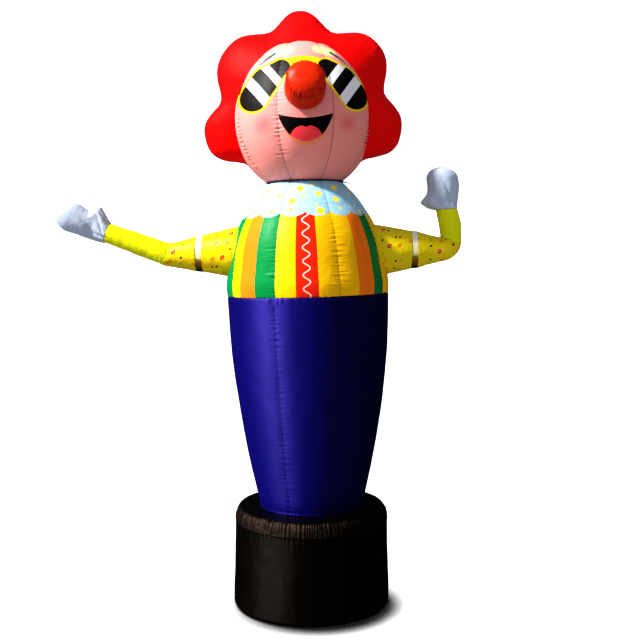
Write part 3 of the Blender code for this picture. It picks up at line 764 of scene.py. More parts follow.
def shirt_print(tree):
    """Colour of the shirt's printed cloth, read from the cloth's own map."""
    cloth = add(tree, "ShaderNodeUVMap", uv_map="cloth_map")
    around = add(tree, "ShaderNodeSeparateXYZ", (cloth,))
    along = add(tree, "ShaderNodeAttribute", attribute_name="height", out="Fac")
    gore = add(tree, "ShaderNodeMath", (around, GORES), operation="MULTIPLY")
    part = add(tree, "ShaderNodeMath", (gore,), operation="FRACT")
    front = add(tree, "ShaderNodeMath", (gore, 1.0), operation="LESS_THAN")

    def stripes(*bands):
        """Bands of plain colour across one gore: share where each starts, colour."""
        ramp = add(tree, "ShaderNodeValToRGB", (part,))
        colours = ramp.node.color_ramp
        colours.interpolation = "CONSTANT"
        while len(colours.elements) < len(bands):
            colours.elements.new(1.0)
        for element, (start, hex_colour) in zip(colours.elements, bands):
            element.position = start
            element.color = linear(hex_colour)
        return ramp

    yellow, orange, green, red = "#E6B60C", "#E87E1A", "#068446", "#D42E0C"
    sides = stripes((0.0, yellow), (0.331, orange), (0.658, green))
    middle = stripes((0.0, yellow), (0.333, red), (0.670, yellow))
    striped = add(tree, "ShaderNodeMix", {0: front, 6: sides, 7: middle}, out=2,
                  data_type="RGBA")

    # The wavy line: how far this spot is from it, across the front gore
    across = add(tree, "ShaderNodeMath", (part, -0.5), operation="ADD")
    girth = add(tree, "ShaderNodeAttribute", attribute_name="girth", out="Fac")
    width = add(tree, "ShaderNodeMath", (girth, 1 / GORES), operation="MULTIPLY")
    across = add(tree, "ShaderNodeMath", (across, width), operation="MULTIPLY")
    risen = add(tree, "ShaderNodeMath", (along, WAVE_START), operation="SUBTRACT")
    phase = add(tree, "ShaderNodeMath", (risen, math.tau / WAVE_LENGTH),
                operation="MULTIPLY")
    sine = add(tree, "ShaderNodeMath", (phase,), operation="SINE")
    cosine = add(tree, "ShaderNodeMath", (phase,), operation="COSINE")
    off = add(tree, "ShaderNodeMath", (sine, -WAVE_REACH, across), operation="MULTIPLY_ADD")
    slope = add(tree, "ShaderNodeMath", (cosine, WAVE_REACH * math.tau / WAVE_LENGTH),
                operation="MULTIPLY")
    slope = add(tree, "ShaderNodeMath", (slope, slope, 1.0), operation="MULTIPLY_ADD")
    slope = add(tree, "ShaderNodeMath", (slope, 0.5), operation="POWER")
    off = add(tree, "ShaderNodeMath", (off, slope), operation="DIVIDE")
    off = add(tree, "ShaderNodeMath", (off,), operation="ABSOLUTE")
    line = add(tree, "ShaderNodeMath", (off, WAVE_WIDTH), operation="LESS_THAN")
    line = add(tree, "ShaderNodeMath", (line, front), operation="MULTIPLY")
    striped = add(tree, "ShaderNodeMix", {0: line, 6: striped, 7: linear("#E6BDB4")}, out=2,
                  data_type="RGBA")

    # The collar: pale blue down to its scalloped edge, greyer in a band of painted shade along
    # that edge, with soft yellow dots
    lobe = add(tree, "ShaderNodeMath", (around, COLLAR_SCALLOPS * math.pi),
               operation="MULTIPLY")
    lobe = add(tree, "ShaderNodeMath", (lobe,), operation="SINE")
    lobe = add(tree, "ShaderNodeMath", (lobe,), operation="ABSOLUTE")
    lobe = add(tree, "ShaderNodeMath", (lobe, 0.5), operation="POWER")
    edge = add(tree, "ShaderNodeMath", (lobe, -COLLAR_DROP, COLLAR_CUSP),
               operation="MULTIPLY_ADD")
    above = add(tree, "ShaderNodeMath", (along, edge), operation="SUBTRACT")
    collar = add(tree, "ShaderNodeMath", (above, 0.0), operation="GREATER_THAN")
    tint = add(tree, "ShaderNodeMapRange", {"Value": above, "From Max": COLLAR_SHADE_REACH})
    pale = add(tree, "ShaderNodeMix", {0: tint, 6: linear("#9FBABF"), 7: linear("#9CC4DC")},
               out=2, data_type="RGBA")
    dots = add(tree, "ShaderNodeAttribute", attribute_name="dots", out="Fac")
    soft = add(tree, "ShaderNodeMapRange",
               {"Value": dots, "From Min": DOT_FADE[0], "From Max": DOT_FADE[1],
                "To Min": 1.0, "To Max": 0.0})
    pale = add(tree, "ShaderNodeMix", {0: soft, 6: pale, 7: linear("#EFDF3A")}, out=2,
               data_type="RGBA")
    return add(tree, "ShaderNodeMix", {0: collar, 6: striped, 7: pale}, out=2,
               data_type="RGBA")


printed_nylon = nylon("printed_nylon_stripes", shirt_print, roughness=0.45, seam_shade=0.75,
                      gloss=0.12)
shirt = sew("shirt", shirt_rows(), printed_nylon, around=368, turn=SHIRT_TURN,
            widest=SHIRT_RADIUS, seam_depth=SEAM_DEPTH, pucker_pitch=0.0125,
            pucker_depth=0.0034, pucker_reach=0.024, tight_height=1.46, tight_spread=0.13,
            gathers=70.0, gather_depth=0.0020, wrinkle_depth=0.005, wrinkle_size=0.14,
            seed=21.0)
put_attribute(shirt, "height", lambda point: point.z)
put_attribute(shirt, "dots", collar_dots)
keep_plain(shirt, lean)
finish_piece(shirt, "shirt")


# The neck binding is a narrow dark nylon tape, sewn over the seam between shirt and head.
# It lies flat and even all round, and its loose end sticks out on the right.
binding_tape = nylon("binding_tape_dark", "#3E3860", roughness=0.6, crinkle=0.2)
neck_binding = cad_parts["neck_binding"]
neck_binding.data.materials.clear()
neck_binding.data.materials.append(binding_tape)


# The head is an egg of eight pink gores, cut off level at the neck. The face is printed on
# them: striped sunglasses, brows, cheeks and an open mouth. Tight thread puckers its seams.
HEAD_RADIUS = 0.2893
HEAD_CENTRE = 2.0113
HEAD_TOP = 2.336
HEAD_TURN = math.radians(3.0)
HEAD_LOWER = (HEAD_CENTRE - NECK_HEIGHT) / math.sin(math.acos(NECK_RADIUS / HEAD_RADIUS))
HEAD_UPPER = HEAD_TOP - HEAD_CENTRE
HEAD_LEVELS = 196
HEAD_GATHER_REACH = 0.04
NECK_GAP = 0.0003

# Circles that a lens is drawn round: along its straight inner edge, outwards from it, radius
LENS_MIDDLE = (0.102, 2.108)
LENS_SLANT = (0.579, -0.815)
LENS_CIRCLES = (
    (-0.066, 0.028, 0.034),
    (0.010, 0.052, 0.056),
    (0.082, 0.056, 0.0575),
)
LENS_BARS = (-0.0266, 0.0060, 0.0558, 0.0965)
LENS_BAR_SLANT = 0.33
FRAME_WIDTH = 0.0085
BRIDGE_TOP = 2.223
BRIDGE_LOW = 2.165
BRIDGE_BOW = 1.9
BRIDGE_HALF_WIDTH = 0.080
MOUTH_TOP = 1.9780
MOUTH_CORNERS = 1.9965
MOUTH_HALF_WIDTH = 0.1055
MOUTH_DEPTH = 0.1120
MOUTH_ROUNDNESS = (2.0, 1.27)
TONGUE_MIDDLE = 1.8810
TONGUE_SIZE = (0.0665, 0.0695)
TONGUE_ROUNDNESS = (2.5, 2.5)
TONGUE_CLEFT = 0.006
TONGUE_SLANT = 0.3
LIP_WIDTH = 0.003
LIP_DROP = 0.060
CHIN_HEIGHT = 0.009
CHIN_SAG = 6.0
BROW = ((0.108, 2.2432), (0.1365, 2.2250), (0.168, 2.2015))
BROW_HALF_WIDTHS = (0.0048, 0.0044, 0.0018)
BROW_GLOW = ((0.055, 2.256), (0.110, 2.244))
BROW_GLOW_HALF_WIDTH = 0.004
CHEEK = (0.1625, 1.963)
CHEEK_RADIUS = 0.040

# How far inside and outside its outline each part of the face fades
PRINT_FADE = (-0.0008, 0.0008)
CHEEK_FADE = (-0.055, 0.006)
GLOW_FADE = (-0.002, 0.020)
LIP_FADE = (-0.002, 0.004)
CHIN_FADE = (-0.003, 0.002)


def head_rows():
    """Outline of the head from the closed neck up to the crown."""
    low = NECK_HEIGHT + NECK_GAP
    start = -math.acos(NECK_RADIUS / HEAD_RADIUS)
    rows = [(0.0, low, 0.0), (NECK_RADIUS * INNER_RING, low, 0.0)]
    for level in range(HEAD_LEVELS + 1):
        angle = start + (math.pi / 2 - start) * level / HEAD_LEVELS
        half_height = HEAD_UPPER if angle > 0 else HEAD_LOWER
        height = HEAD_CENTRE + half_height * math.sin(angle)
        edge = max(0.0, 1 - (height - NECK_HEIGHT) / HEAD_GATHER_REACH)
        rows.append((max(0.0, HEAD_RADIUS * math.cos(angle)), max(height, low),
                     edge ** GATHER_FADE))
    return rows


def capsule(point, start, end, start_radius, end_radius):
    """Distance from a stroke with round ends that widens from start to end."""
    run_x, run_y = end[0] - start[0], end[1] - start[1]
    off_x, off_y = point[0] - start[0], point[1] - start[1]
    share = (off_x * run_x + off_y * run_y) / (run_x ** 2 + run_y ** 2)
    share = min(max(share, 0.0), 1.0)
    radius = start_radius + (end_radius - start_radius) * share
    return math.hypot(off_x - run_x * share, off_y - run_y * share) - radius


def in_lens(x, z):
    """A place beside the lens's inner edge: how far along it, and how far outwards."""
    dx, dz = x - LENS_MIDDLE[0], z - LENS_MIDDLE[1]
    along = dx * LENS_SLANT[0] + dz * LENS_SLANT[1]
    outwards = -dx * LENS_SLANT[1] + dz * LENS_SLANT[0]
    return along, outwards


def lens(x, z):
    """Distance from a lens's outline, which is negative inside it."""
    spot = in_lens(x, z)
    rounds = [capsule(spot, a, b, a[2], b[2]) for a, b in zip(LENS_CIRCLES, LENS_CIRCLES[1:])]
    return max(min(rounds), -spot[1])


def lens_bars(x, z):
    """Distance from the lens's white bars, which is negative inside them."""
    along, outwards = in_lens(x, z)
    slid = along + LENS_BAR_SLANT * outwards
    first, second = LENS_BARS[:2], LENS_BARS[2:]
    return min(max(low - slid, slid - high) for low, high in (first, second))


def glasses_frame(x, z):
    """Distance from the yellow frame round both lenses, with its bridge over the nose."""
    from_lens = lens(x, z)
    bridge = max(z - (BRIDGE_TOP - BRIDGE_BOW * x * x), BRIDGE_LOW - z,
                 x - BRIDGE_HALF_WIDTH, -from_lens)
    return min(from_lens - FRAME_WIDTH, bridge)


def oval(x, z, size, roundness):
    """Rough distance from an oval, whose roundness across and upwards may differ."""
    filled = abs(x / size[0]) ** roundness[0] + abs(z / size[1]) ** roundness[1]
    return (filled ** 0.5 - 1) * min(size)


def mouth(x, z):
    """Distance from the open mouth: a sagging upper edge over a round lower one."""
    top = MOUTH_TOP + (MOUTH_CORNERS - MOUTH_TOP) * (x / MOUTH_HALF_WIDTH) ** 2
    return max(z - top, oval(x, z - MOUTH_CORNERS, (MOUTH_HALF_WIDTH, MOUTH_DEPTH),
                             MOUTH_ROUNDNESS))


def tongue(x, z):
    """Distance from a half of the tongue, whose top slants down to the cleft in its middle."""
    top = TONGUE_MIDDLE + TONGUE_SIZE[1] - TONGUE_CLEFT + TONGUE_SLANT * x
    return max(oval(x, z - TONGUE_MIDDLE, TONGUE_SIZE, TONGUE_ROUNDNESS), z - top)


def lip(x, z):
    """Distance from the orange edge round the mouth's lower part."""
    return max(mouth(x, z) - LIP_WIDTH, z - MOUTH_CORNERS + LIP_DROP)


def chin(x, z):
    """Distance from the orange strip along the mouth's lowest edge."""
    top = MOUTH_CORNERS - MOUTH_DEPTH + CHIN_HEIGHT + CHIN_SAG * x * x
    return max(mouth(x, z) - LIP_WIDTH, z - top)


def brow(x, z):
    """Distance from an eyebrow, a thin stroke above the glasses."""
    ends = list(zip(BROW, BROW_HALF_WIDTHS))
    return min(capsule((x, z), a, b, a_width, b_width)
               for (a, a_width), (b, b_width) in zip(ends, ends[1:]))


def brow_glow(x, z):
    """Distance from the pale yellow streak at an eyebrow's inner end."""
    return capsule((x, z), *BROW_GLOW, BROW_GLOW_HALF_WIDTH, BROW_GLOW_HALF_WIDTH)


def cheek(x, z):
    """Distance from the edge of a round red cheek."""
    return math.dist((x, z), CHEEK) - CHEEK_RADIUS


FACE_SHAPES = {
    "lens": lens,
    "bars": lens_bars,
    "frame": glasses_frame,
    "mouth": mouth,
    "tongue": tongue,
    "chin": chin,
    "lip": lip,
    "brow": brow,
    "glow": brow_glow,
    "cheek": cheek,
}


def on_face(shape):
    """Reads a shape of the face at a point of the head, alike on both halves."""
    def read(point):
        """Distance from the shape at a point of the upright head."""
        x = point.x * math.cos(HEAD_TURN) + point.y * math.sin(HEAD_TURN)
        y = -point.x * math.sin(HEAD_TURN) + point.y * math.cos(HEAD_TURN)
        return shape(abs(x), point.z) if y < 0 else NO_PRINT
    return read


def face_print(tree):
    """Colour of the head's printed cloth: pink skin and the face over it."""
    def painted(under, name, hex_colour, fade=PRINT_FADE, inside_of=None):
        """Paints a shape over what is under it, faded from one distance to the other."""
        value = add(tree, "ShaderNodeAttribute", attribute_name=name, out="Fac")
        if inside_of:
            other = add(tree, "ShaderNodeAttribute", attribute_name=inside_of, out="Fac")
            value = add(tree, "ShaderNodeMath", (value, other), operation="MAXIMUM")
        cover = add(tree, "ShaderNodeMapRange",
                    {"Value": value, "From Min": fade[0], "From Max": fade[1],
                     "To Min": 1.0, "To Max": 0.0})
        return add(tree, "ShaderNodeMix", {0: cover, 6: under, 7: linear(hex_colour)}, out=2,
                   data_type="RGBA")

    colour = painted(linear("#E59590"), "cheek", "#DE686E", CHEEK_FADE)
    colour = painted(colour, "glow", "#F2EFA0", GLOW_FADE)
    colour = painted(colour, "brow", "#12505C")
    colour = painted(colour, "frame", "#EDC80A")
    colour = painted(colour, "lens", "#1A1617")
    colour = painted(colour, "bars", "#E6E2E8", inside_of="lens")
    colour = painted(colour, "lip", "#E8905C", LIP_FADE)
    colour = painted(colour, "mouth", "#0A0607")
    colour = painted(colour, "tongue", "#F04A54", inside_of="mouth")
    return painted(colour, "chin", "#EC9060", CHIN_FADE)


pink_nylon = nylon("printed_nylon_pink", face_print, roughness=0.55, seam_shade=0.7,
                   crinkle=0.15, gloss=0.25)
head = sew("head", head_rows(), pink_nylon, around=432, turn=HEAD_TURN, seam_crowding=0.3,
           widest=HEAD_RADIUS, seam_depth=SEAM_DEPTH, pucker_pitch=0.0150,
           pucker_depth=0.0044, pucker_reach=0.018, tight_height=1.935,
           tight_spread=0.065, gathers=56.0, gather_depth=0.0022, wrinkle_depth=0.004,
           wrinkle_size=0.12, seed=33.0)
for shape_name, shape in FACE_SHAPES.items():
    put_attribute(head, shape_name, on_face(shape))
keep_plain(head, lean)
finish_piece(head, "head")


# The hair is two panels of red nylon sewn together at the rim and blown up into five lobes
# round the head. Each lobe is full, and the rim seam puckers most where two lobes meet.
HAIR_CENTRE = 2.0249
HAIR_ROOT = 0.235
HAIR_SET_BACK = 0.015
HAIR_NOTCH_THICKNESS = 0.066
HAIR_ROOT_THICKNESS = 0.125
HAIR_CROWN_THICKNESS = 0.056
HAIR_ROOT_LENGTH = 0.19
HAIR_ROOT_FADE = 1.5
HAIR_FULLNESS = 3
HAIR_RIM_ROUNDNESS = 0.6
HAIR_RIM_CROWDING = 1.7
HAIR_END = 3.0
HAIR_END_BLUNTNESS = 0.02
HAIR_ON_HEAD = 0.9
HAIR_TUCK = 0.005
HAIR_STATIONS = 380
HAIR_STEPS = 34
RIM_SMOOTH_EDGE = 0.035
FARTHEST_ROOT = 0.5
HALVINGS = 24

# Tips of the hair's lobes: angle from the crown, reach, half thickness, roundness
HAIR_TIPS = (
    (-101.5, 0.411, 0.084, 1.5),
    (-46.5, 0.416, 0.088, 1.35),
    (0, 0.4245, 0.084, 1.15),
    (47, 0.423, 0.088, 1.35),
    (100.5, 0.409, 0.084, 1.5),
)

# Where the hair's lobes meet, and its two ends: angle from the crown, reach
HAIR_NOTCHES = (
    (-129.5, 0.304),
    (-78, 0.344),
    (-20.5, 0.364),
    (21.5, 0.360),
    (76, 0.348),
    (129, 0.304),
)


def make_rim_tree(puckers):
    """Lifts cloth along its own normal: puckers beside a rim seam, and soft wrinkles."""
    inputs = {"Piece": "Geometry", "Pucker Pitch": "Float", "Pucker Depth": "Float",
              "Pucker Reach": "Float", "Wrinkle Depth": "Float", "Wrinkle Size": "Float",
              "Seed": "Float", "Cloth": "Material"}
    tree, given = new_tree("rim_seamed_cloth", inputs, {"Piece": "Geometry"})
    pucker = tree.nodes.new("GeometryNodeGroup")
    pucker.node_tree = puckers
    read = {name: add(tree, "GeometryNodeInputNamedAttribute", {"Name": name},
                      data_type="FLOAT") for name in ("along", "seam", "panel", "tight")}
    held = add(tree, "ShaderNodeMapRange",
               {"Value": read["seam"], "From Max": RIM_SMOOTH_EDGE})
    depth = add(tree, "ShaderNodeMath", (given["Pucker Depth"], held), operation="MULTIPLY")
    for name, value in {"Along": read["along"], "Distance": read["seam"],
                        "Side": read["panel"], "Pitch": given["Pucker Pitch"],
                        "Depth": depth, "Reach": given["Pucker Reach"],
                        "Tightness": read["tight"], "Seed": given["Seed"]}.items():
        tree.links.new(value, pucker.inputs[name])
    fine = add(tree, "ShaderNodeMath", (1.0, given["Wrinkle Size"]), operation="DIVIDE")
    position = add(tree, "GeometryNodeInputPosition")
    wrinkle = add(tree, "ShaderNodeTexNoise",
                  {"Vector": position, "Scale": fine, "Detail": WRINKLE_DETAIL,
                   "Roughness": WRINKLE_ROUGHNESS})
    wrinkle = add(tree, "ShaderNodeMath", (wrinkle, 0.5), operation="SUBTRACT")
    relief = add(tree, "ShaderNodeMath", (wrinkle, given["Wrinkle Depth"],
                                          pucker.outputs[0]), operation="MULTIPLY_ADD")
    normal = add(tree, "GeometryNodeInputNormal")
    offset = add(tree, "ShaderNodeVectorMath", {0: normal, "Scale": relief},
                 operation="SCALE")
    shape = add(tree, "GeometryNodeSetPosition", {"Geometry": given["Piece"],
                                                  "Offset": offset})
    shape = add(tree, "GeometryNodeSetShadeSmooth", {"Geometry": shape})
    shape = add(tree, "GeometryNodeRealizeInstances", {"Geometry": shape})
    shape = add(tree, "GeometryNodeSetMaterial",
                {"Geometry": shape, "Material": given["Cloth"]})
    tree.links.new(shape, tree.nodes.new("NodeGroupOutput").inputs[0])
    return tree


RIM_CLOTH = make_rim_tree(PUCKERS)


def loft(name, rings, values, tip=None):
    """Joins rings into a skin, closed flat or at a tip; values gives each point's numbers."""
    count = len(rings[0])
    points = [point for ring in rings for point in ring]
    faces = []
    for row in range(len(rings) - 1):
        for i in range(count):
            j = (i + 1) % count
            a, b = row * count, (row + 1) * count
            faces.append((a + i, a + j, b + j, b + i))
    numbers = {key: [value for ring in rows for value in ring] for key, rows in values.items()}
    for hub, base, flip in ((None, 0, True), (tip, (len(rings) - 1) * count, False)):
        hub = hub or sum((points[base + i] for i in range(count)), Vector()) / count
        points.append(hub)
        for key in numbers:
            numbers[key].append(numbers[key][base])
        for i in range(count):
            j = (i + 1) % count
            pair = (base + j, base + i) if flip else (base + i, base + j)
            faces.append((*pair, len(points) - 1))
    mesh = bpy.data.meshes.new(name)
    mesh.from_pydata(points, [], faces)
    for key, column in numbers.items():
        mesh.attributes.new(key, "FLOAT", "POINT").data.foreach_set("value", column)
    piece = bpy.data.objects.new(name, mesh)
    bpy.context.scene.collection.objects.link(piece)
    return piece


def face_outwards(piece):
    """Turns a closed skin's faces so that they point out of it."""
    mesh = piece.data
    mesh.calc_loop_triangles()
    volume = 0.0
    for triangle in mesh.loop_triangles:
        a, b, c = (mesh.vertices[i].co for i in triangle.vertices)
        volume += a.dot(b.cross(c))
    if volume < 0:
        mesh.flip_normals()


def hair_form(angle):
    """Reach, half thickness and nearness to a notch of the hair, at an angle from the crown."""
    for tip, before, after in zip(HAIR_TIPS, HAIR_NOTCHES, HAIR_NOTCHES[1:]):
        if before[0] <= angle <= after[0]:
            tip_angle, tip_reach, tip_thickness, roundness = tip
            notch_angle, notch_reach = before if angle < tip_angle else after
            share = abs(angle - tip_angle) / abs(notch_angle - tip_angle)
            rise = 0.5 * (1 + math.cos(math.pi * share ** roundness))
            return (notch_reach + (tip_reach - notch_reach) * rise,
                    HAIR_NOTCH_THICKNESS + (tip_thickness - HAIR_NOTCH_THICKNESS) * rise,
                    1 - rise)


def inside_head(x, y, z):
    """True for a place inside the head as it would stand upright."""
    half_height = HEAD_UPPER if z > HEAD_CENTRE else HEAD_LOWER
    return (x * x + y * y) / HEAD_RADIUS ** 2 + ((z - HEAD_CENTRE) / half_height) ** 2 < 1


def way_out(inside, longest):
    """How far a line runs before it leaves a solid; inside tells it for each distance."""
    low, high = 0.0, longest
    for _ in range(HALVINGS):
        middle = (low + high) / 2
        low, high = (middle, high) if inside(middle) else (low, middle)
    return low


def head_reach(turn, depth):
    """How far the head reaches from the hair's centre, at an angle and a depth."""
    return way_out(lambda out: inside_head(out * math.sin(turn), depth,
                                           HAIR_CENTRE + out * math.cos(turn)), FARTHEST_ROOT)


def hair_profile(reach, thickness, root_thickness, closing):
    """Half thickness of the hair at shares of the way from its root to its rim."""
    profile = []
    for step in range(HAIR_STEPS + 1):
        share = 1 - (1 - step / HAIR_STEPS) ** HAIR_RIM_CROWDING
        near_head = max(0.0, 1 - (reach - HAIR_ROOT) * share / HAIR_ROOT_LENGTH)
        fullness = thickness + (root_thickness - thickness) * near_head ** HAIR_ROOT_FADE
        profile.append((share, fullness * (1 - share ** HAIR_FULLNESS)
                        ** HAIR_RIM_ROUNDNESS * closing))
    return profile


def hair_panel(turn, reach, profile, closing, side):
    """One panel's points from root to rim at an angle, and how far each is from the rim."""
    places = []
    for share, half in profile:
        depth = HAIR_SET_BACK + side * half
        root = head_reach(turn, depth) - HAIR_TUCK if share < HAIR_ON_HEAD else 0.0
        out = HAIR_ROOT + (reach - HAIR_ROOT) * share
        out = root + (out - root) * closing if root else out
        out = max(out, root)
        places.append(Vector((out * math.sin(turn), depth,
                              HAIR_CENTRE + out * math.cos(turn))))
    run = [0.0]
    for a, b in zip(reversed(places), reversed(places[:-1])):
        run.append(run[-1] + (b - a).length)
    return places, run[::-1]


def make_hair(cloth):
    """Sections of the hair from the head out to the rim and back, all round the head."""
    first, last = HAIR_NOTCHES[0][0], HAIR_NOTCHES[-1][0]
    rings, along, seam, panel, tight = [], [], [], [], []
    travelled, before = 0.0, None
    for station in range(HAIR_STATIONS + 1):
        angle = first + (last - first) * station / HAIR_STATIONS
        turn = math.radians(angle)
        reach, thickness, notch = hair_form(angle)
        from_end = min(angle - first, last - angle) + HAIR_END_BLUNTNESS
        closing = math.sqrt(1 - (1 - min(1.0, from_end / HAIR_END)) ** 2)
        root_thickness = HAIR_ROOT_THICKNESS + HAIR_CROWN_THICKNESS * math.cos(turn)
        profile = hair_profile(reach, thickness, root_thickness, closing)
        front, front_run = hair_panel(turn, reach, profile, closing, -1)
        back, back_run = hair_panel(turn, reach, profile, closing, 1)
        ring = front + back[-2::-1]
        rim = front[-1]
        travelled += (rim - before).length if before else 0.0
        before = rim
        rings.append([lean(point) for point in ring])
        along.append([travelled] * len(ring))
        seam.append(front_run + back_run[-2::-1])
        panel.append([float(i > HAIR_STEPS) for i in range(len(ring))])
        tight.append([notch ** 3] * len(ring))
    values = {"along": along, "seam": seam, "panel": panel, "tight": tight}
    piece = loft("hair", rings, values)
    face_outwards(piece)
    run_tree(piece, RIM_CLOTH, {"Pucker Pitch": 0.021, "Pucker Depth": 0.0036,
                                "Pucker Reach": 0.070, "Wrinkle Depth": 0.010,
                                "Wrinkle Size": 0.11, "Seed": 5.0, "Cloth": cloth})
    return keep_plain(piece)


red_nylon = nylon("coated_nylon_red", "#E20A0A", roughness=0.55, crinkle=0.18, gloss=0.08)
finish_piece(make_hair(red_nylon), "hair")


# The nose is a short tube of orange-red nylon sewn to the face, closed by a domed round
# panel. The seam between them is gathered hard, so deep creases run back from it.
NOSE_HEIGHT = 2.087
NOSE_TILT = math.radians(18)
NOSE_ROOT_RADIUS = 0.0765
NOSE_ROOT_SWELL = 0.002
NOSE_SEAM_RADIUS = 0.0720
NOSE_PINCH = 0.009
NOSE_SWELL = 0.0025
NOSE_BAND = 0.075
NOSE_DOME = 0.038
NOSE_DOME_FULLNESS = 0.8
NOSE_DOME_STEPS = 40
NOSE_SPACING = 0.0025
NOSE_GAP = 0.0006
NOSE_TUCK = 0.003
NOSE_BAND_GATHER = 0.020
NOSE_DOME_GATHER_FADE = 2.6
NOSE_BACK = 0.06
NOSE_SEARCH = 0.12
LEAN_ROUNDS = 4

rise = (NOSE_HEIGHT - HEAD_CENTRE) / HEAD_UPPER
nose_reach = HEAD_RADIUS * math.sqrt(1 - rise ** 2)
NOSE_MIDDLE = lean((nose_reach * math.sin(HEAD_TURN), -nose_reach * math.cos(HEAD_TURN),
                    NOSE_HEIGHT))
NOSE_OUT = Vector((math.sin(HEAD_TURN) * math.cos(NOSE_TILT),
                   -math.cos(HEAD_TURN) * math.cos(NOSE_TILT), math.sin(NOSE_TILT)))
NOSE_ACROSS = Vector((math.cos(HEAD_TURN), math.sin(HEAD_TURN), 0))
NOSE_UP = NOSE_ACROSS.cross(NOSE_OUT) * -1


def upright(point):
    """Where a point of the leaning figure would be if it stood upright."""
    x, y, z = point
    for _ in range(LEAN_ROUNDS):
        angle, drift = lean_at(z)
        x = (point[0] + drift) / math.cos(angle)
        z = point[2] - x * math.sin(angle)
    return Vector((x, y, z))


nose_starts = {}


def nose_place(point):
    """Puts a point of the upright nose on the face; the tube starts where the head ends."""
    across = NOSE_ACROSS * point.x + NOSE_UP * point.y
    angle = round(math.atan2(point.y, point.x), 3)
    if angle not in nose_starts:
        foot = across.normalized() * NOSE_ROOT_RADIUS
        back = NOSE_MIDDLE + foot - NOSE_OUT * NOSE_BACK
        found = way_out(lambda out: inside_head(*upright(back + NOSE_OUT * out)), NOSE_SEARCH)
        nose_starts[angle] = found - NOSE_BACK
    start = nose_starts[angle] - NOSE_TUCK
    out = start + (NOSE_BAND - start) * point.z / NOSE_BAND
    return NOSE_MIDDLE + across + NOSE_OUT * (out if point.z < NOSE_BAND else point.z)


def nose_band_rows():
    """The nose's tube, which narrows to the gathered seam."""
    outline = ((0.0, NOSE_ROOT_RADIUS), (NOSE_BAND / 3, NOSE_ROOT_RADIUS + NOSE_ROOT_SWELL),
               (NOSE_BAND * 3 / 4, NOSE_SEAM_RADIUS + NOSE_SWELL),
               (NOSE_BAND, NOSE_SEAM_RADIUS - NOSE_PINCH))
    rows = [(0.0, 0.0, 0.0)]
    for height, radius in spaced(through(outline, 5), NOSE_SPACING):
        rows.append((radius, height, max(0.0, 1 - (NOSE_BAND - height) / NOSE_BAND_GATHER)))
    return rows + [(0.0, NOSE_BAND, 0.0)]


def nose_dome_rows():
    """The nose's domed front panel."""
    low = NOSE_BAND + NOSE_GAP
    widest = NOSE_SEAM_RADIUS + NOSE_SWELL
    rows = [(0.0, low, 0.0), (NOSE_SEAM_RADIUS - NOSE_PINCH, low, 1.0)]
    for step in range(1, NOSE_DOME_STEPS + 1):
        bend = math.pi / 2 * step / NOSE_DOME_STEPS
        rows.append((widest * max(0.0, math.cos(bend)) ** NOSE_DOME_FULLNESS,
                     NOSE_BAND + NOSE_DOME * math.sin(bend),
                     max(0.0, 1 - NOSE_DOME_GATHER_FADE * step / NOSE_DOME_STEPS)))
    return rows


# The nose's cloth has a strong band of painted shade (seam_shade) along the gathered seam.
nose_nylon = nylon("coated_nylon_orange_red", "#C82E04", roughness=0.45, crinkle=0.2,
                   gloss=0.2, seam_shade=0.35)


def sew_nose(name, rows):
    """Sews a part of the nose, and marks how far each point is from the gathered seam, for the
    painted shade along it.
    """
    piece = sew(name, rows, nose_nylon, gores=1, around=260, seam_crowding=0.0,
                gathers=21.0, gather_depth=0.0100, wrinkle_depth=0.004, wrinkle_size=0.04,
                seed=41.0)
    from_seam = [abs(vertex.co.z - NOSE_BAND) for vertex in piece.data.vertices]
    piece.data.attributes["seam"].data.foreach_set("value", from_seam)
    return keep_plain(piece, nose_place)


nose_band = sew_nose("nose_band", nose_band_rows())
finish_piece(nose_band, "nose_band")
nose_dome = sew_nose("nose_dome", nose_dome_rows())
finish_piece(nose_dome, "nose_dome")


# Each arm is a run of tapered tubes of yellow nylon: a sleeve sewn to the shirt, a cuff
# printed with the same dots, and a plain forearm. A glossy tape joins sleeve and cuff.

# Rings of each arm: distance out from the middle, height, tilt of the arm, radius
LEFT_SLEEVE = (
    (0.2680, 1.4700, 0, 0.1110),
    (0.3300, 1.4680, 0, 0.1027),
    (0.3900, 1.4660, 0, 0.0897),
    (0.4460, 1.4632, 0, 0.0773),
)
LEFT_CUFF = (
    (0.4728, 1.4622, 0, 0.0738),
    (0.5327, 1.4607, 6, 0.0608),
    (0.5960, 1.4593, 16, 0.0484),
)
LEFT_FOREARM = (
    (0.5960, 1.4593, 16, 0.0484),
    (0.7185, 1.5039, 19, 0.0451),
    (0.8410, 1.5481, 19, 0.0422),
)
RIGHT_SLEEVE = (
    (0.2300, 1.4766, 0, 0.1146),
    (0.2860, 1.4776, 0, 0.1040),
    (0.3500, 1.4776, 0, 0.0930),
    (0.4115, 1.4796, 0, 0.0792),
)
RIGHT_CUFF = (
    (0.4362, 1.4799, 0, 0.0773),
    (0.4823, 1.4801, 2, 0.0638),
    (0.5336, 1.4811, 6, 0.0513),
)
RIGHT_ELBOW_CORNER = (0.5316, 1.5332)
RIGHT_ELBOW_TILTS = (22, 39, 55, 69)
RIGHT_ELBOW_RADIUS = 0.0465
ELBOW_CREASE = 0.0012
RIGHT_FOREARM = (
    (0.5747, 1.5540, 84, 0.0463),
    (0.5700, 1.5974, 91, 0.0467),
    (0.5573, 1.6452, 95, 0.0436),
)
ARMBAND_INSET = 0.0015
ARM_GATHER_REACH = 0.03
TUBE_SPACING = 0.004
SLEEVE_BACK = 0.06
SLEEVE_SEARCH = 0.2
SLEEVE_TUCK = 0.004
SLEEVE_EVEN = 0.02
LEAST_RADIUS = 0.001
DOT_SPACING = 0.046
DOT_UNEVENNESS = 0.7
DOT_PLACE = (0.31, 0.17, 0.0)
DOT_EDGE = (-0.0012, 0.0008)
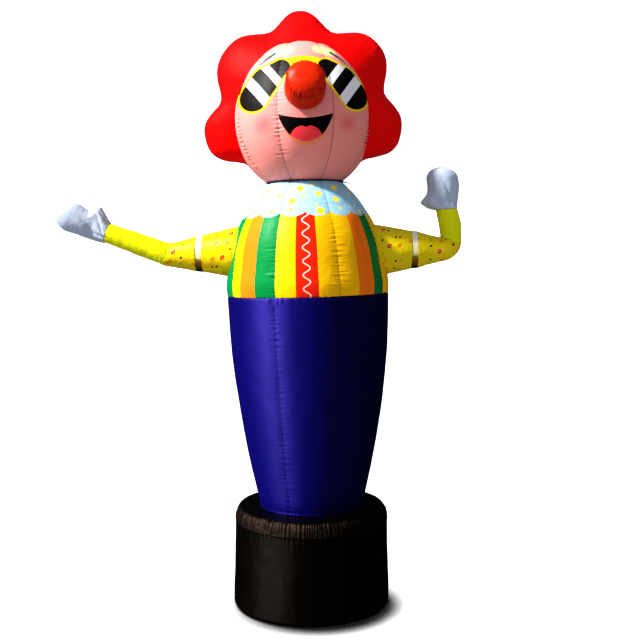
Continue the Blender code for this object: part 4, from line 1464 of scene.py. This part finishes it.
RING_EDGE = 0.001

# Kinds of dot on the sleeves: from and to which chance, inner and outer radius, colour
DOT_KINDS = (
    (0.00, 0.24, -1.0, 0.0120, "#E8D860"),
    (0.00, 0.24, 0.0042, 0.0098, "#D03414"),
    (0.00, 0.24, -1.0, 0.0042, "#E8782A"),
    (0.24, 0.36, -1.0, 0.0090, "#E09020"),
    (0.36, 0.54, -1.0, 0.0050, "#3A2C10"),
    (0.54, 0.72, -1.0, 0.0052, "#A02412"),
    (0.72, 0.86, -1.0, 0.0050, "#14602C"),
    (0.86, 1.00, 0.0040, 0.0072, "#B09C20"),
)

# Painted reflection on the glossy tape from its underside up, dark brown below and pale above:
# share of its height, colour
TAPE_REFLECTION_COLOURS = (
    (0.00, "#2A1C0A"),
    (0.12, "#6A5420"),
    (0.32, "#9A8434"),
    (0.38, "#DCD6A8"),
    (1.00, "#E6E4DA"),
)


def elbow_rows():
    """Rings that fan out round the inner corner of the bent right elbow."""
    rows = []
    first = RIGHT_CUFF[-1][3]
    for step, tilt in enumerate(RIGHT_ELBOW_TILTS, start=1):
        radius = first + (RIGHT_ELBOW_RADIUS - first) * step / len(RIGHT_ELBOW_TILTS)
        reach = radius + ELBOW_CREASE
        rows.append((RIGHT_ELBOW_CORNER[0] + reach * math.sin(math.radians(tilt)),
                     RIGHT_ELBOW_CORNER[1] - reach * math.cos(math.radians(tilt)),
                     tilt, radius))
    return rows


def shirt_radius(height):
    """Radius of the shirt at a height."""
    for (low, low_radius), (high, high_radius) in zip(SHIRT_OUTLINE, SHIRT_OUTLINE[1:]):
        if low <= height <= high:
            return low_radius + (high_radius - low_radius) * (height - low) / (high - low)
    return 0.0


def in_shirt(point):
    """True for a place inside the shirt."""
    x, y, z = upright(point)
    return math.hypot(x, y) < shirt_radius(z)


class Arm:
    """The line of one piece of an arm, with its tilt and radius at each distance along."""

    def __init__(self, side, rows, steps):
        self.side = side
        self.rows = through(rows, steps) if len(rows) > 2 else spaced(rows, TUBE_SPACING)
        self.along = [0.0]
        for a, b in zip(self.rows, self.rows[1:]):
            self.along.append(self.along[-1] + math.dist(a[:2], b[:2]))
        self.length = self.along[-1]

    def at(self, distance):
        """Row of the arm at a distance along it."""
        for i in range(len(self.along) - 1):
            if distance <= self.along[i + 1] or i == len(self.along) - 2:
                share = (distance - self.along[i]) / (self.along[i + 1] - self.along[i])
                share = min(max(share, 0.0), 1.0)
                return [a + (b - a) * share for a, b in zip(self.rows[i], self.rows[i + 1])]

    def place(self, point, distance, scale=1.0):
        """Puts a point of an upright tube on the arm."""
        out, height, tilt, _ = self.at(distance)
        tilt = math.radians(tilt)
        across = -self.side * point.x * scale
        return Vector((self.side * (out - across * math.sin(tilt)), point.y * scale,
                       height + across * math.cos(tilt)))

    def outline(self, spacing, start_gather, end_gather, inset=0.0):
        """Rows for the gored cloth, closed at both ends."""
        count = max(2, round(self.length / spacing))
        rows = [(0.0, 0.0, 0.0)]
        for i in range(count + 1):
            distance = self.length * i / count
            to_end = self.length - distance
            gather = max(start_gather * (1 - distance / ARM_GATHER_REACH),
                         end_gather * (1 - to_end / ARM_GATHER_REACH), 0.0)
            rows.append((self.at(distance)[3] - inset, distance, gather))
        return rows + [(0.0, self.length, 0.0)]


def tube_place(arm):
    """The place of the points of a tube that fills its whole stretch of the arm."""
    return lambda point: arm.place(point, point.z)


def sleeve_place(arm):
    """The place of a sleeve's points: its tube starts where the shirt's surface ends."""
    starts = {}
    way = Vector((arm.side, 0, 0))

    def find_start(angle):
        """Where the shirt's surface lies along one side of the tube."""
        radius = arm.rows[1][3]
        ring = Vector((radius * math.cos(angle), radius * math.sin(angle), 0))
        back = arm.place(ring, 0.0) - way * SLEEVE_BACK
        found = way_out(lambda out: in_shirt(back + way * out), SLEEVE_SEARCH)
        return max(-SLEEVE_BACK, found - SLEEVE_BACK - SLEEVE_TUCK)

    def place(point):
        """Puts a point of the upright tube on the sleeve."""
        angle = round(math.atan2(point.y, point.x), 3)
        if angle not in starts:
            starts[angle] = find_start(angle)
        start = starts[angle]
        even = max(start, 0.0) + SLEEVE_EVEN
        distance = point.z if point.z > even else start + (even - start) * point.z / even
        here = arm.at(max(distance, 0.0))[3]
        scale = here / max(arm.at(point.z)[3], LEAST_RADIUS)
        placed = arm.place(point, max(distance, 0.0), scale)
        placed.x += arm.side * min(distance, 0.0)
        return placed
    return place


def dotted_print(tree):
    """Yellow cloth with printed dots: red rings, small dark spots and soft orange ones."""
    cloth = add(tree, "ShaderNodeUVMap", uv_map="cloth_map")
    around = add(tree, "ShaderNodeSeparateXYZ", (cloth,))
    girth = add(tree, "ShaderNodeAttribute", attribute_name="girth", out="Fac")
    front = add(tree, "ShaderNodeMath", (around, -0.5), operation="ADD")
    across = add(tree, "ShaderNodeMath", (front, girth), operation="MULTIPLY")
    spot = add(tree, "ShaderNodeCombineXYZ", (across, around.node.outputs[1], 0.0))
    moved = add(tree, "ShaderNodeMapping", {"Vector": spot, "Location": DOT_PLACE})
    cells = add(tree, "ShaderNodeTexVoronoi",
                {"Vector": moved, "Scale": 1 / DOT_SPACING, "Randomness": DOT_UNEVENNESS},
                voronoi_dimensions="2D")
    far = add(tree, "ShaderNodeMath", (cells, DOT_SPACING), operation="MULTIPLY")
    chance = add(tree, "ShaderNodeSeparateColor", (cells.node.outputs["Color"],))
    colour = linear("#DEC80A")
    for low, high, inner, outer, hex_colour in DOT_KINDS:
        above = add(tree, "ShaderNodeMath", (chance, low), operation="GREATER_THAN")
        below = add(tree, "ShaderNodeMath", (chance, high), operation="LESS_THAN")
        edge = add(tree, "ShaderNodeMapRange",
                   {"Value": far, "From Min": outer + DOT_EDGE[0],
                    "From Max": outer + DOT_EDGE[1], "To Min": 1.0, "To Max": 0.0})
        hole = add(tree, "ShaderNodeMapRange",
                   {"Value": far, "From Min": inner - RING_EDGE,
                    "From Max": inner + RING_EDGE})
        cover = add(tree, "ShaderNodeMath", (above, below), operation="MULTIPLY")
        cover = add(tree, "ShaderNodeMath", (cover, edge), operation="MULTIPLY")
        cover = add(tree, "ShaderNodeMath", (cover, hole), operation="MULTIPLY")
        colour = add(tree, "ShaderNodeMix", {0: cover, 6: colour, 7: linear(hex_colour)},
                     out=2, data_type="RGBA")
    return colour


def tape_painted_reflection(tree):
    """Colour of the glossy tape with a painted reflection: pale cream above, pale yellow, then
    dark brown underneath.
    """
    height = add(tree, "ShaderNodeAttribute", attribute_name="up", out="Fac")
    ramp = add(tree, "ShaderNodeValToRGB", (height,))
    colours = ramp.node.color_ramp
    for share, _ in TAPE_REFLECTION_COLOURS[1:-1]:
        colours.elements.new(share)
    for element, (_, hex_colour) in zip(colours.elements, TAPE_REFLECTION_COLOURS):
        element.color = linear(hex_colour)
    return ramp


dotted_nylon = nylon("printed_nylon_dots", dotted_print, roughness=0.40, seam_shade=0.8)
yellow_nylon = nylon("coated_nylon_yellow", "#DADC04", roughness=0.45, crinkle=0.10,
                     seam_shade=0.8)
# The tape's colour carries a painted reflection, pale above and dark brown below.
armband_tape = nylon("glossy_tape_painted_reflection", tape_painted_reflection, roughness=0.16, crinkle=0.15,
                     seam_shade=1.0)

elbow = elbow_rows()
ARMS = (
    ("left", -1, LEFT_SLEEVE, LEFT_CUFF, LEFT_FOREARM, 51.0),
    ("right", 1, RIGHT_SLEEVE, (*RIGHT_CUFF, *elbow), (elbow[-1], *RIGHT_FOREARM), 63.0),
)
for name, side, sleeve, cuff, forearm, seed in ARMS:
    arm = Arm(side, sleeve, steps=8)
    rows = arm.outline(spacing=0.0035, start_gather=0.0, end_gather=0.8)
    piece = sew(f"{name}_sleeve", rows, dotted_nylon, sleeve_place(arm), gores=2, around=200,
                widest=0.11, seam_depth=0.003, pucker_pitch=0.018, pucker_depth=0.0016,
                pucker_reach=0.030, gathers=34.0, gather_depth=0.0020,
                wrinkle_depth=0.005, wrinkle_size=0.07, seed=seed)
    finish_piece(piece, f"{name}_sleeve")

    arm = Arm(side, cuff, steps=8)
    rows = arm.outline(spacing=0.0030, start_gather=0.8, end_gather=1.0)
    piece = sew(f"{name}_cuff", rows, dotted_nylon, tube_place(arm), gores=2, around=180,
                widest=0.074, seam_depth=0.0025, pucker_pitch=0.016, pucker_depth=0.0016,
                pucker_reach=0.026, gathers=30.0, gather_depth=0.0020,
                wrinkle_depth=0.006, wrinkle_size=0.05, seed=seed + 1)
    finish_piece(piece, f"{name}_cuff")

    arm = Arm(side, forearm, steps=10)
    rows = arm.outline(spacing=0.0030, start_gather=1.0, end_gather=0.8)
    piece = sew(f"{name}_forearm", rows, yellow_nylon, tube_place(arm), gores=2, around=140,
                widest=0.048, seam_depth=0.002, pucker_pitch=0.016, pucker_depth=0.0014,
                pucker_reach=0.030, gathers=20.0, gather_depth=0.0022,
                wrinkle_depth=0.007, wrinkle_size=0.06, seed=seed + 2)
    finish_piece(piece, f"{name}_forearm")

    arm = Arm(side, (sleeve[-1], cuff[0]), steps=1)
    rows = arm.outline(spacing=0.0030, start_gather=0.0, end_gather=0.0, inset=ARMBAND_INSET)
    piece = sew(f"{name}_armband", rows, armband_tape, tube_place(arm), gores=2, around=140,
                seed=seed + 3)
    low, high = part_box(f"{name}_armband")
    put_attribute(piece, "up", lambda point: (point.z - low.z) / (high.z - low.z))
    finish_piece(piece, f"{name}_armband")


# Each mitten is a hand shape of two white nylon panels, sewn together round the rim with a
# short thumb, and blown up. It is gathered where it joins the narrower forearm, and a fan of
# creases runs from the back of the wrist to the thumb.

# Sections of each mitten: distance from the wrist, back, thumb side, half thickness
LEFT_MITTEN = (
    (0.016, 0.0440, 0.052, 0.0430),
    (0.041, 0.0452, 0.076, 0.0420),
    (0.062, 0.0461, 0.0905, 0.0400),
    (0.080, 0.0468, 0.0720, 0.0440),
    (0.098, 0.0473, 0.0614, 0.0480),
    (0.141, 0.0477, 0.0726, 0.0530),
    (0.174, 0.0470, 0.0720, 0.0520),
    (0.207, 0.0311, 0.0600, 0.0430),
    (0.228, 0.0040, 0.0370, 0.0240),
)
LEFT_MITTEN_TIP = (0.2350, 0.0170)
RIGHT_MITTEN = (
    (0.010, 0.0427, 0.0720, 0.0440),
    (0.033, 0.0469, 0.1004, 0.0420),
    (0.046, 0.0498, 0.0959, 0.0440),
    (0.071, 0.0548, 0.0751, 0.0500),
    (0.101, 0.0593, 0.0710, 0.0540),
    (0.137, 0.0531, 0.0718, 0.0520),
    (0.162, 0.0310, 0.0560, 0.0400),
    (0.173, 0.0080, 0.0320, 0.0200),
)
RIGHT_MITTEN_TIP = (0.1765, 0.0120)
MITTEN_SIDES = 112
MITTEN_STEPS = 9
MITTEN_START = 0.0005
RIM_TIGHTNESS = 0.5
WRIST_GATHERS = 9
WRIST_GATHER_DEPTH = 0.0048
WRIST_GATHER_REACH = 0.085
WRIST_WANDER = 0.5
WANDER_WAVES = 3
WANDER_DRIFT = 20
FAN_ROOT = 0.9
FAN_SET_BACK = 0.01
FAN_FOLDS = 6.5
FAN_DEPTH = 0.0055
FAN_MIDDLE = 0.080
FAN_SPREAD = 0.055


def make_mitten(name, side, wrist, sections, tip, cloth):
    """Lofts a mitten through its sections, gathered at the wrist, with a fan of creases."""
    out, height, tilt, radius = wrist
    tilt = math.radians(tilt)

    def place(along, across, depth):
        """Puts a place on the mitten at the forearm's end."""
        return Vector((side * (out + along * math.cos(tilt) - across * math.sin(tilt)), depth,
                       height + along * math.sin(tilt) + across * math.cos(tilt)))

    rows = through(((MITTEN_START, radius, radius, radius), *sections), MITTEN_STEPS)
    rings, lengths, seams, panels = [], [], [], []
    for along, back, thumb, depth in rows:
        fade = math.exp(-(along / WRIST_GATHER_REACH) ** 2)
        ring, seam = [], []
        for i in range(MITTEN_SIDES):
            around = math.tau * i / MITTEN_SIDES
            wander = WRIST_WANDER * math.sin(WANDER_WAVES * around + along * WANDER_DRIFT)
            crease = abs(math.sin(WRIST_GATHERS / 2 * around + wander)) - CREASE_LEVEL
            swell = 1 + WRIST_GATHER_DEPTH * crease * fade / radius
            across = (thumb - back) / 2 + (thumb + back) / 2 * math.cos(around) * swell
            from_back = across + back * FAN_ROOT
            fan_angle = math.atan2(from_back, along + FAN_SET_BACK)
            fold = abs(math.sin(FAN_FOLDS * fan_angle))
            far = (math.hypot(from_back, along) - FAN_MIDDLE) / FAN_SPREAD
            sink = FAN_DEPTH * (1 - fold) ** 2 * math.exp(-far * far)
            ring.append(place(along, across, (depth * swell - sink) * math.sin(around)))
            seam.append(abs(math.sin(around)) * depth)
        rings.append(ring)
        lengths.append([along] * MITTEN_SIDES)
        seams.append(seam)
        panels.append([float(i > MITTEN_SIDES / 2) for i in range(MITTEN_SIDES)])
    tight = [[RIM_TIGHTNESS] * MITTEN_SIDES for _ in rows]
    values = {"along": lengths, "seam": seams, "panel": panels, "tight": tight}
    piece = loft(name, rings, values, tip=place(*tip, 0.0))
    face_outwards(piece)
    run_tree(piece, RIM_CLOTH, {"Pucker Pitch": 0.019, "Pucker Depth": 0.0012,
                                "Pucker Reach": 0.030, "Wrinkle Depth": 0.005,
                                "Wrinkle Size": 0.045, "Seed": 70.0 + side, "Cloth": cloth})
    return keep_plain(piece)


white_nylon = nylon("coated_nylon_white", "#B0B8CA", roughness=0.6, crinkle=0.02,
                    seam_shade=0.95, gloss=0.2)
left_mitten = make_mitten("left_mitten", -1, LEFT_FOREARM[-1], LEFT_MITTEN, LEFT_MITTEN_TIP,
                          white_nylon)
finish_piece(left_mitten, "left_mitten")
right_mitten = make_mitten("right_mitten", 1, RIGHT_FOREARM[-1], RIGHT_MITTEN,
                           RIGHT_MITTEN_TIP, white_nylon)
finish_piece(right_mitten, "right_mitten")


# The floor is white and glows instead of being lit, with a painted contact shadow round the
# base, darkest at its front and right; the glow also lights the figure from below. A strong
# soft light stands high on the left, and white surroundings fill in the shaded side. A tall
# strip light on the left draws the long sheen on the dark cloth.
FLOOR_SIZE = 30.0
KEY_AZIMUTH = math.radians(67)
KEY_HEIGHT = math.radians(40)
KEY_STRENGTH = 6.0
KEY_SOFTNESS = math.radians(5)
KEY_COLOUR = (1.0, 0.985, 0.95)
FILL_STRENGTH = 0.58
FILL_SHADE = 0.40
FILL_TURN = (-0.6, 0.9)
FILL_COLOUR = (0.91, 0.96, 1.0, 1)
BACKDROP_STRENGTH = 1.1
MIRRORED_STRENGTH = 0.03
FLOOR_BOUNCE = 0.50
SHADOW_REACH = 0.12
SHADOW_TILT = (-0.42, 0.58, 0.70)
SHADOW_OPENNESS = (0.45, 0.93)
FLOOR_STRENGTH = (0.02, 1.1)
STRIP_AZIMUTH = math.radians(58)
STRIP_AWAY = 5.0
STRIP_SIZE = (1.2, 6.0)
STRIP_MIDDLE = 0.0
STRIP_POWER = 300

floor_material = bpy.data.materials.new("studio_floor_paint")
floor_material.use_nodes = True
floor_tree = floor_material.node_tree
floor_shader = floor_tree.nodes["Principled BSDF"]
floor_shader.inputs["Base Color"].default_value = linear("#202020")
floor_shader.inputs["Roughness"].default_value = 0.9
floor_shader.inputs["Specular IOR Level"].default_value = 0.0
floor_shader.inputs["Emission Color"].default_value = linear("#FFFFFF")
# Painted contact shadow: the floor's glow dims where ambient occlusion, tilted towards the
# base's front and right, meets it.
tilt = add(floor_tree, "ShaderNodeCombineXYZ", SHADOW_TILT)
open_sky = add(floor_tree, "ShaderNodeAmbientOcclusion",
               {"Distance": SHADOW_REACH, "Normal": tilt}, out=1)
floor_glow_painted_shadow = add(floor_tree, "ShaderNodeMapRange",
                {"Value": open_sky, "From Min": SHADOW_OPENNESS[0],
                 "From Max": SHADOW_OPENNESS[1], "To Min": FLOOR_STRENGTH[0],
                 "To Max": FLOOR_STRENGTH[1]})
# The floor glows fully in view, and at half strength onto the figure as light bounced up from
# it.
in_view = add(floor_tree, "ShaderNodeLightPath", out="Is Camera Ray")
bounced = in_view.node.outputs["Is Diffuse Ray"]
in_view = add(floor_tree, "ShaderNodeMath", (bounced, FLOOR_BOUNCE, in_view),
              operation="MULTIPLY_ADD")
floor_glow_painted_shadow = add(floor_tree, "ShaderNodeMath", (floor_glow_painted_shadow, in_view), operation="MULTIPLY")
floor_tree.links.new(floor_glow_painted_shadow, floor_shader.inputs["Emission Strength"])
floor_mesh = bpy.data.meshes.new("studio_floor")
half = FLOOR_SIZE / 2
floor_mesh.from_pydata([(-half, -half, 0), (half, -half, 0), (half, half, 0), (-half, half, 0)],
                       [], [(0, 1, 2, 3)])
floor_mesh.materials.append(floor_material)
floor = bpy.data.objects.new("studio_floor", floor_mesh)
bpy.context.scene.collection.objects.link(floor)
floor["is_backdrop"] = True

key_data = bpy.data.lights.new("key_light", "SUN")
key_data.energy = KEY_STRENGTH
key_data.angle = KEY_SOFTNESS
key_data.color = KEY_COLOUR
key = bpy.data.objects.new("key_light", key_data)
toward_light = Vector((-math.sin(KEY_AZIMUTH) * math.cos(KEY_HEIGHT),
                       -math.cos(KEY_AZIMUTH) * math.cos(KEY_HEIGHT), math.sin(KEY_HEIGHT)))
key.rotation_euler = toward_light.to_track_quat("Z", "Y").to_euler()
bpy.context.scene.collection.objects.link(key)
lit = bpy.data.collections.new("lit_by_key")
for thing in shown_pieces():
    lit.objects.link(thing)
key.light_linking.receiver_collection = lit

strip_data = bpy.data.lights.new("strip_light", "AREA")
strip_data.shape = "RECTANGLE"
strip_data.size, strip_data.size_y = STRIP_SIZE
strip_data.energy = STRIP_POWER
strip_data.diffuse_factor = 0.0
strip = bpy.data.objects.new("strip_light", strip_data)
toward_strip = Vector((-math.sin(STRIP_AZIMUTH), -math.cos(STRIP_AZIMUTH), 0))
strip.location = toward_strip * STRIP_AWAY + Vector((0, 0, STRIP_MIDDLE))
strip.rotation_euler = toward_strip.to_track_quat("Z", "Y").to_euler()
bpy.context.scene.collection.objects.link(strip)
dark_cloth = bpy.data.collections.new("dark_cloth")
for thing in (drum_wall, drum_band, top_panel, trousers):
    dark_cloth.objects.link(thing)
strip.light_linking.receiver_collection = dark_cloth
strip.light_linking.blocker_collection = lit

world = bpy.data.worlds.new("white_studio")
bpy.context.scene.world = world
world.use_nodes = True
sky = world.node_tree
backdrop = sky.nodes["Background"]
backdrop.inputs["Color"].default_value = FILL_COLOUR
seen = add(sky, "ShaderNodeLightPath", out="Is Camera Ray")
mirrored = seen.node.outputs["Is Glossy Ray"]
way = add(sky, "ShaderNodeTexCoord", out="Generated")
facing_light = add(sky, "ShaderNodeVectorMath", (way, toward_light), out="Value",
                   operation="DOT_PRODUCT")
soft = add(sky, "ShaderNodeMapRange",
           {"Value": facing_light, "From Min": FILL_TURN[0], "From Max": FILL_TURN[1],
            "To Min": FILL_SHADE, "To Max": FILL_STRENGTH})
soft = add(sky, "ShaderNodeMix", {0: mirrored, 2: soft, 3: MIRRORED_STRENGTH})
strength = add(sky, "ShaderNodeMix", {0: seen, 2: soft, 3: BACKDROP_STRENGTH})
sky.links.new(strength, backdrop.inputs["Strength"])
